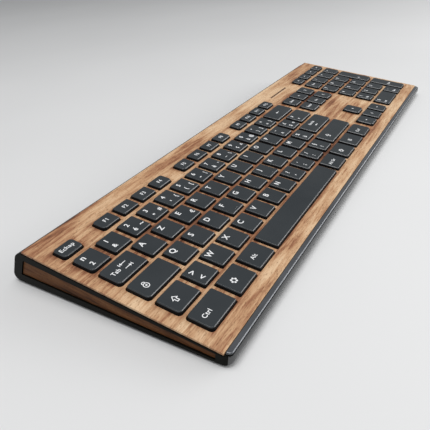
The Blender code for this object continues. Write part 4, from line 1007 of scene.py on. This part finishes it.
def finish_cap(piece):
    """Gives a cap its matt top, its polished bevel lightened as a painted highlight and its sides darkened as
    painted shade, each with its own finish.
    """
    paint(piece, key_plastic, cap_bevel_with_painted_highlight, cap_sides_with_painted_shade)
    for face in piece.data.polygons:
        rise = (to_deck.to_3x3() @ face.normal).z
        face.material_index = 0 if rise > FLAT_RISE else 1 if rise > BEVEL_RISE else 2


def homing_bar(cap):
    """The small raised bar that fingers feel for on F and J."""
    x0, x1, y0, y1 = cap_top(cap)
    middle = (x0 + x1) / 2
    loops = []
    for inset, z in ((0.0, -0.1 * MM), (0.0, 0.1 * MM), (0.12 * MM, 0.22 * MM)):
        loops.append((rounded_loop(middle - BAR_HALF_LENGTH + inset, middle + BAR_HALF_LENGTH - inset,
                                   y0 + BAR_FRONT + inset, y0 + BAR_BACK - inset, (0.15 * MM,) * 2, 3), z))
    return stacked(loops)


key_plastic = spark_finish("slate_key_plastic", (0.024, 0.029, 0.033), (0.032, 0.037, 0.041), 0.38,
                           0.28 * MM, 0.008 * MM, 0.3)
# The bevel's copy of the key plastic is glossier and a little lighter in colour, a painted highlight; the
# sides' copy is much darker, painted shade.
cap_bevel_with_painted_highlight = spark_finish("polished_cap_bevel_painted_highlight", (0.026, 0.030, 0.034), (0.034, 0.039, 0.043), 0.26,
                         0.6 * MM, 0.001 * MM, 0.75)
cap_sides_with_painted_shade = spark_finish("cap_sides_painted_shade", (0.0045, 0.005, 0.006), (0.007, 0.0075, 0.009), 0.5,
                         0.28 * MM, 0.008 * MM, 0.1)
for name, *bank, legends in BANKS:
    for number, cap in enumerate(bank_caps(*bank)):
        body = cap_body(cap)
        if legends[number] in ("F", "J"):
            bar = mesh_from(homing_bar(cap), "homing_bar")
            body.from_mesh(bar)
            bpy.data.meshes.remove(bar)
        piece_name = "cap_%s_%d" % (name, number + 1)
        piece = new_piece(piece_name, mesh_from(body, piece_name), DECK)
        soften(piece, 0.07 * MM, 2, angle=25)
        finish_cap(piece)
        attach(piece, name)
        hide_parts(name)

# ---- Key legends ----
# White pad-printed letters, digits, words and plain signs in the usual places of an AZERTY keyboard. The ink
# stands a few hundredths of a millimetre proud of the caps, and all the ink of one moving body is one piece.

INK = 0.03 * MM
MAIN_SPOT = (0.35, 0.68)          # shares of a key pitch from the left and from the front of the cap's cell
LOW_SPOT = (0.36, 0.33)
THIRD_SPOT = (0.73, 0.36)
WORD_SPOT = (0.48, 0.50)
LETTER = 5.5 * MM
DIGIT = 4.8 * MM
SIGN = 4.5 * MM
WORD = 3.9 * MM
FUNCTION_WORD = 4.2 * MM
BOLD = 0.10 * MM
WORD_BOLD = 0.06 * MM
FUNCTION_BOLD = 0.04 * MM
LARGER = {sign: scale for signs, scale in (("`¨-", 1.4), ("~^", 1.3), ("n><", 1.25), ("'.,", 1.2),
                                           ("éèàù", 1.15), ("\"ç;:", 1.1)) for sign in signs}


def printed_text(text, x, y, size, bold=BOLD):
    """Text with its middle on a point of the deck, as a thin raised mesh."""
    curve = bpy.data.curves.new("ink_text", "FONT")
    curve.body, curve.size = text, size
    curve.extrude, curve.offset, curve.resolution_u = INK, bold, 3
    curve.space_character = 1.08
    mesh = as_mesh(curve)
    xs = [vert.co.x for vert in mesh.vertices]
    ys = [vert.co.y for vert in mesh.vertices]
    mesh.transform(Matrix.Translation((x - (min(xs) + max(xs)) / 2, y - (min(ys) + max(ys)) / 2, 0)))
    return mesh


def turned_by(points, degrees):
    a = math.radians(degrees)
    return [(x * math.cos(a) - y * math.sin(a), x * math.sin(a) + y * math.cos(a)) for x, y in points]


def disc(radius, centre):
    return arc(centre, (radius, radius), 0, 345, 23)


def bar(x0, x1, y0, y1):
    return [(x0, y0), (x1, y0), (x1, y1), (x0, y1)]


LONG_ARROW = [(-2.7, -0.28), (0.7, -0.28), (0.7, -1.15), (2.6, 0.0), (0.7, 1.15), (0.7, 0.28), (-2.7, 0.28)]
SHORT_ARROW = [(-1.7, -0.3), (-0.1, -0.3), (-0.1, -1.1), (1.7, 0.0), (-0.1, 1.1), (-0.1, 0.3), (-1.7, 0.3)]
TAB_ARROW = [(-2.9, -0.25), (0.7, -0.25), (0.7, -1.1), (2.2, 0.0), (0.7, 1.1), (0.7, 0.25), (-2.9, 0.25)]
SHIFT_ARROW = [(-1.0, -2.5), (1.0, -2.5), (1.0, -0.3), (2.4, -0.3), (0.0, 2.5), (-2.4, -0.3), (-1.0, -0.3)]
SHACKLE = arc((0, 1.05), (1.3, 1.45), 0, 180, 12) + arc((0, 1.05), (0.75, 0.95), 180, 0, 12)
SPEAKER = [(-1.8, -0.5), (-1.1, -0.5), (-0.2, -1.2), (-0.2, 1.2), (-1.1, 0.5), (-1.8, 0.5)]
PLUS = [(0.5, -0.2), (1.0, -0.2), (1.0, -0.7), (1.4, -0.7), (1.4, -0.2), (1.9, -0.2),
        (1.9, 0.2), (1.4, 0.2), (1.4, 0.7), (1.0, 0.7), (1.0, 0.2), (0.5, 0.2)]

# Each sign is a list of outlines with their holes, in units of about a millimetre
SIGNS = {
    "back": [[turned_by(LONG_ARROW, 180)]],
    "to_left": [[turned_by(TAB_ARROW, 180)], [bar(-2.85, -2.4, -1.1, 1.1)]],
    "to_right": [[TAB_ARROW], [bar(2.4, 2.85, -1.1, 1.1)]],
    "up": [[turned_by(SHORT_ARROW, 90)]],
    "down": [[turned_by(SHORT_ARROW, 270)]],
    "left": [[turned_by(SHORT_ARROW, 180)]],
    "right": [[SHORT_ARROW]],
    "home": [[turned_by(SHORT_ARROW, 135)]],
    "page_up": [[turned_by(SHORT_ARROW, 90)], [bar(-1.3, 1.3, 1.95, 2.35)]],
    "page_down": [[turned_by(SHORT_ARROW, 270)], [bar(-1.3, 1.3, -2.35, -1.95)]],
    "shift": [[SHIFT_ARROW, moved_in(SHIFT_ARROW, 0.5)]],
    "lock": [[disc(1.95, (0, -0.75)), disc(1.45, (0, -0.75))], [disc(0.62, (0, -0.75))], [SHACKLE]],
    "system": [[disc(0.66, (1.55 * math.cos(math.radians(60 * i)), 1.55 * math.sin(math.radians(60 * i))))]
               for i in range(6)],
    "menu": [[bar(-1.8, 1.8, -2.0, 2.0), bar(-1.35, 1.35, -1.55, 1.55)], [bar(-0.9, 0.9, 0.6, 1.0)],
             [bar(-0.9, 0.9, -0.2, 0.2)], [bar(-0.9, 0.9, -1.0, -0.6)]],
    "quiet": [[SPEAKER], [turned_by(bar(-1.0, 1.0, -1.1, -0.7), 45)]],
    "softer": [[SPEAKER], [bar(0.5, 1.9, -0.2, 0.2)]],
    "louder": [[SPEAKER], [PLUS]],
    "play": [[[(-1.6, -1.1), (0.2, 0.0), (-1.6, 1.1)]], [bar(0.5, 0.9, -1.1, 1.1)],
             [bar(1.3, 1.7, -1.1, 1.1)]],
}


def printed_sign(sign, x, y, scale):
    """A sign with its middle on a point of the deck."""
    bm = bmesh.new()
    for group in SIGNS[sign]:
        outlines = [[(px * scale, py * scale) for px, py in outline] for outline in group]
        part = flat_sheet("ink_sign", outlines, 2 * INK)
        bm.from_mesh(part)
        bpy.data.meshes.remove(part)
    mesh = mesh_from(bm, "ink_sign")
    mesh.transform(Matrix.Translation((x, y, 0)))
    return mesh


def cap_ink(cap, legend):
    """The meshes of everything printed on one cap."""
    column, row, width, height = cap
    left = column * PITCH
    function_middle = (FUNCTION_FRONT + FUNCTION_BACK) / 2
    front = row * PITCH if row != FUNCTION else function_middle - WORD_SPOT[1] * PITCH
    middle = front + (WORD_SPOT[1] if height == 1 else height / 2) * PITCH
    word_x = left + WORD_SPOT[0] * PITCH
    if legend == "@tab":
        return [printed_text("Tab", left + 0.42 * PITCH, middle, WORD, WORD_BOLD),
                printed_sign("to_left", left + 0.81 * PITCH, front + 0.61 * PITCH, 1.0 * MM),
                printed_sign("to_right", left + 0.86 * PITCH, front + 0.38 * PITCH, 1.0 * MM)]
    if legend == "@enter" and height == 1:
        return [printed_text("Entrée", left + 0.96 * PITCH, front + 0.63 * PITCH, WORD * 0.9, WORD_BOLD),
                printed_sign("back", left + 0.94 * PITCH, front + 0.36 * PITCH, 0.9 * MM)]
    if legend == "@enter":
        return [printed_text("Entr", left + 0.47 * PITCH, front + 0.9 * PITCH, WORD * 0.85, WORD_BOLD)]
    if legend == "@back":
        return [printed_sign("back", left + 0.9 * PITCH, middle, 1.0 * MM)]
    if legend.startswith("@"):
        large = legend in ("@shift", "@lock", "@system")
        along = 0.62 if legend == "@shift" and width > 2 else WORD_SPOT[0]
        return [printed_sign(legend[1:], left + along * PITCH, middle, (1.0 if large else 0.8) * MM)]
    if row == FUNCTION:
        return [printed_text(legend, word_x, middle, FUNCTION_WORD, FUNCTION_BOLD)]
    if len(legend) > 1 and "|" not in legend:
        small = WORD * (0.92 if len(legend) > 4 else 0.9 if width == 1 else 1.0)
        return [printed_text(legend, word_x + (0.6 * MM if len(legend) > 4 else 0), middle, small, WORD_BOLD)]
    ink = []
    alone = len(legend) == 1 or legend.startswith("E")
    for part, spot, size in zip(legend.split("|"), (MAIN_SPOT, LOW_SPOT, THIRD_SPOT),
                                (LETTER if alone else DIGIT, SIGN, SIGN)):
        if part:
            scale = 0.75 if len(part) > 1 else LARGER.get(part, 1.0)
            x = left + spot[0] * PITCH + (0.5 * MM if len(part) > 1 else 0.0)
            ink.append(printed_text(part, x, front + spot[1] * PITCH, size * scale))
    return ink


legend_ink = clouded_finish("white_legend_ink", 900.0, 3.0,
                            [(0.3, (0.74, 0.75, 0.76)), (0.7, (0.88, 0.88, 0.88))], (0.45, 0.6), 0.004 * MM)

for name, *bank, legends in BANKS:
    bm = bmesh.new()
    for cap, legend in zip(bank_caps(*bank), legends):
        for mesh in cap_ink(cap, legend):
            bm.from_mesh(mesh)
            bpy.data.meshes.remove(mesh)
    if not bm.verts:
        bm.free()
        continue
    bmesh.ops.remove_doubles(bm, verts=bm.verts, dist=0.0005 * MM)
    ink = new_piece("legends_" + name, mesh_from(bm, "legends_" + name), DECK)
    paint(ink, legend_ink)
    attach(ink, name)

# ---- Stage, light and camera ----
# A plain pale table top under large soft lamps, and a low camera off the keyboard's front left corner.

bm = bmesh.new()
bmesh.ops.create_grid(bm, x_segments=8, y_segments=8, size=4.0)
floor = new_piece("table_top", mesh_from(bm, "table_top"))
floor_paint, tree, shader, place = new_finish("pale_table_paint", Roughness=0.7)
drift = grain(tree, place, 3.0, 2.0)
tree.links.new(ramp(tree, drift, [(0.3, (0.70, 0.70, 0.70)), (0.7, (0.73, 0.73, 0.73))]),
               shader.inputs["Base Color"])
paint(floor, floor_paint)

world = bpy.data.worlds.new("soft_studio")
world.use_nodes = True
sky = world.node_tree.nodes["Background"]
sky.inputs["Color"].default_value = (0.96, 0.98, 1.0, 1.0)
sky.inputs["Strength"].default_value = 0.30
bpy.context.scene.world = world


def add_lamp(name, place, target, size, power):
    light = bpy.data.lights.new(name, "AREA")
    light.shape, light.size, light.size_y, light.energy = "RECTANGLE", size[0], size[1], power
    lamp = bpy.data.objects.new(name, light)
    lamp.location = place
    lamp.rotation_euler = (Vector(target) - Vector(place)).to_track_quat("-Z", "Y").to_euler()
    bpy.context.scene.collection.objects.link(lamp)


add_lamp("overhead_lamp", (-0.3, -0.15, 1.45), (0, 0, 0), (1.2, 1.0), 17.0)
add_lamp("front_strip", (0.8, -0.9, 0.45), (-0.05, 0, 0), (1.3, 0.5), 9.0)

# Place and directions in the deck frame
FOCAL_SHARE = 470.66 / 430        # of the focal length to the width of the picture
CAMERA_PLACE = (-0.13344, -0.07024, 0.17466)
camera_data = bpy.data.cameras.new("camera")
camera_data.sensor_width = 36.0
camera_data.lens = FOCAL_SHARE * camera_data.sensor_width
camera_data.clip_start, camera_data.clip_end = 0.01, 20.0
camera = bpy.data.objects.new("camera", camera_data)
forward = Vector((0.71809, 0.39266, -0.57461)).normalized()
up = Vector((0.47838, 0.32119, 0.81731)).normalized()
right = forward.cross(up).normalized()
up = right.cross(forward)
view_turn = Matrix((right, up, -forward)).transposed().to_4x4()
camera.matrix_world = DECK @ Matrix.Translation(CAMERA_PLACE) @ view_turn
bpy.context.scene.collection.objects.link(camera)
bpy.context.scene.camera = camera
bpy.context.scene.view_settings.view_transform = "Standard"
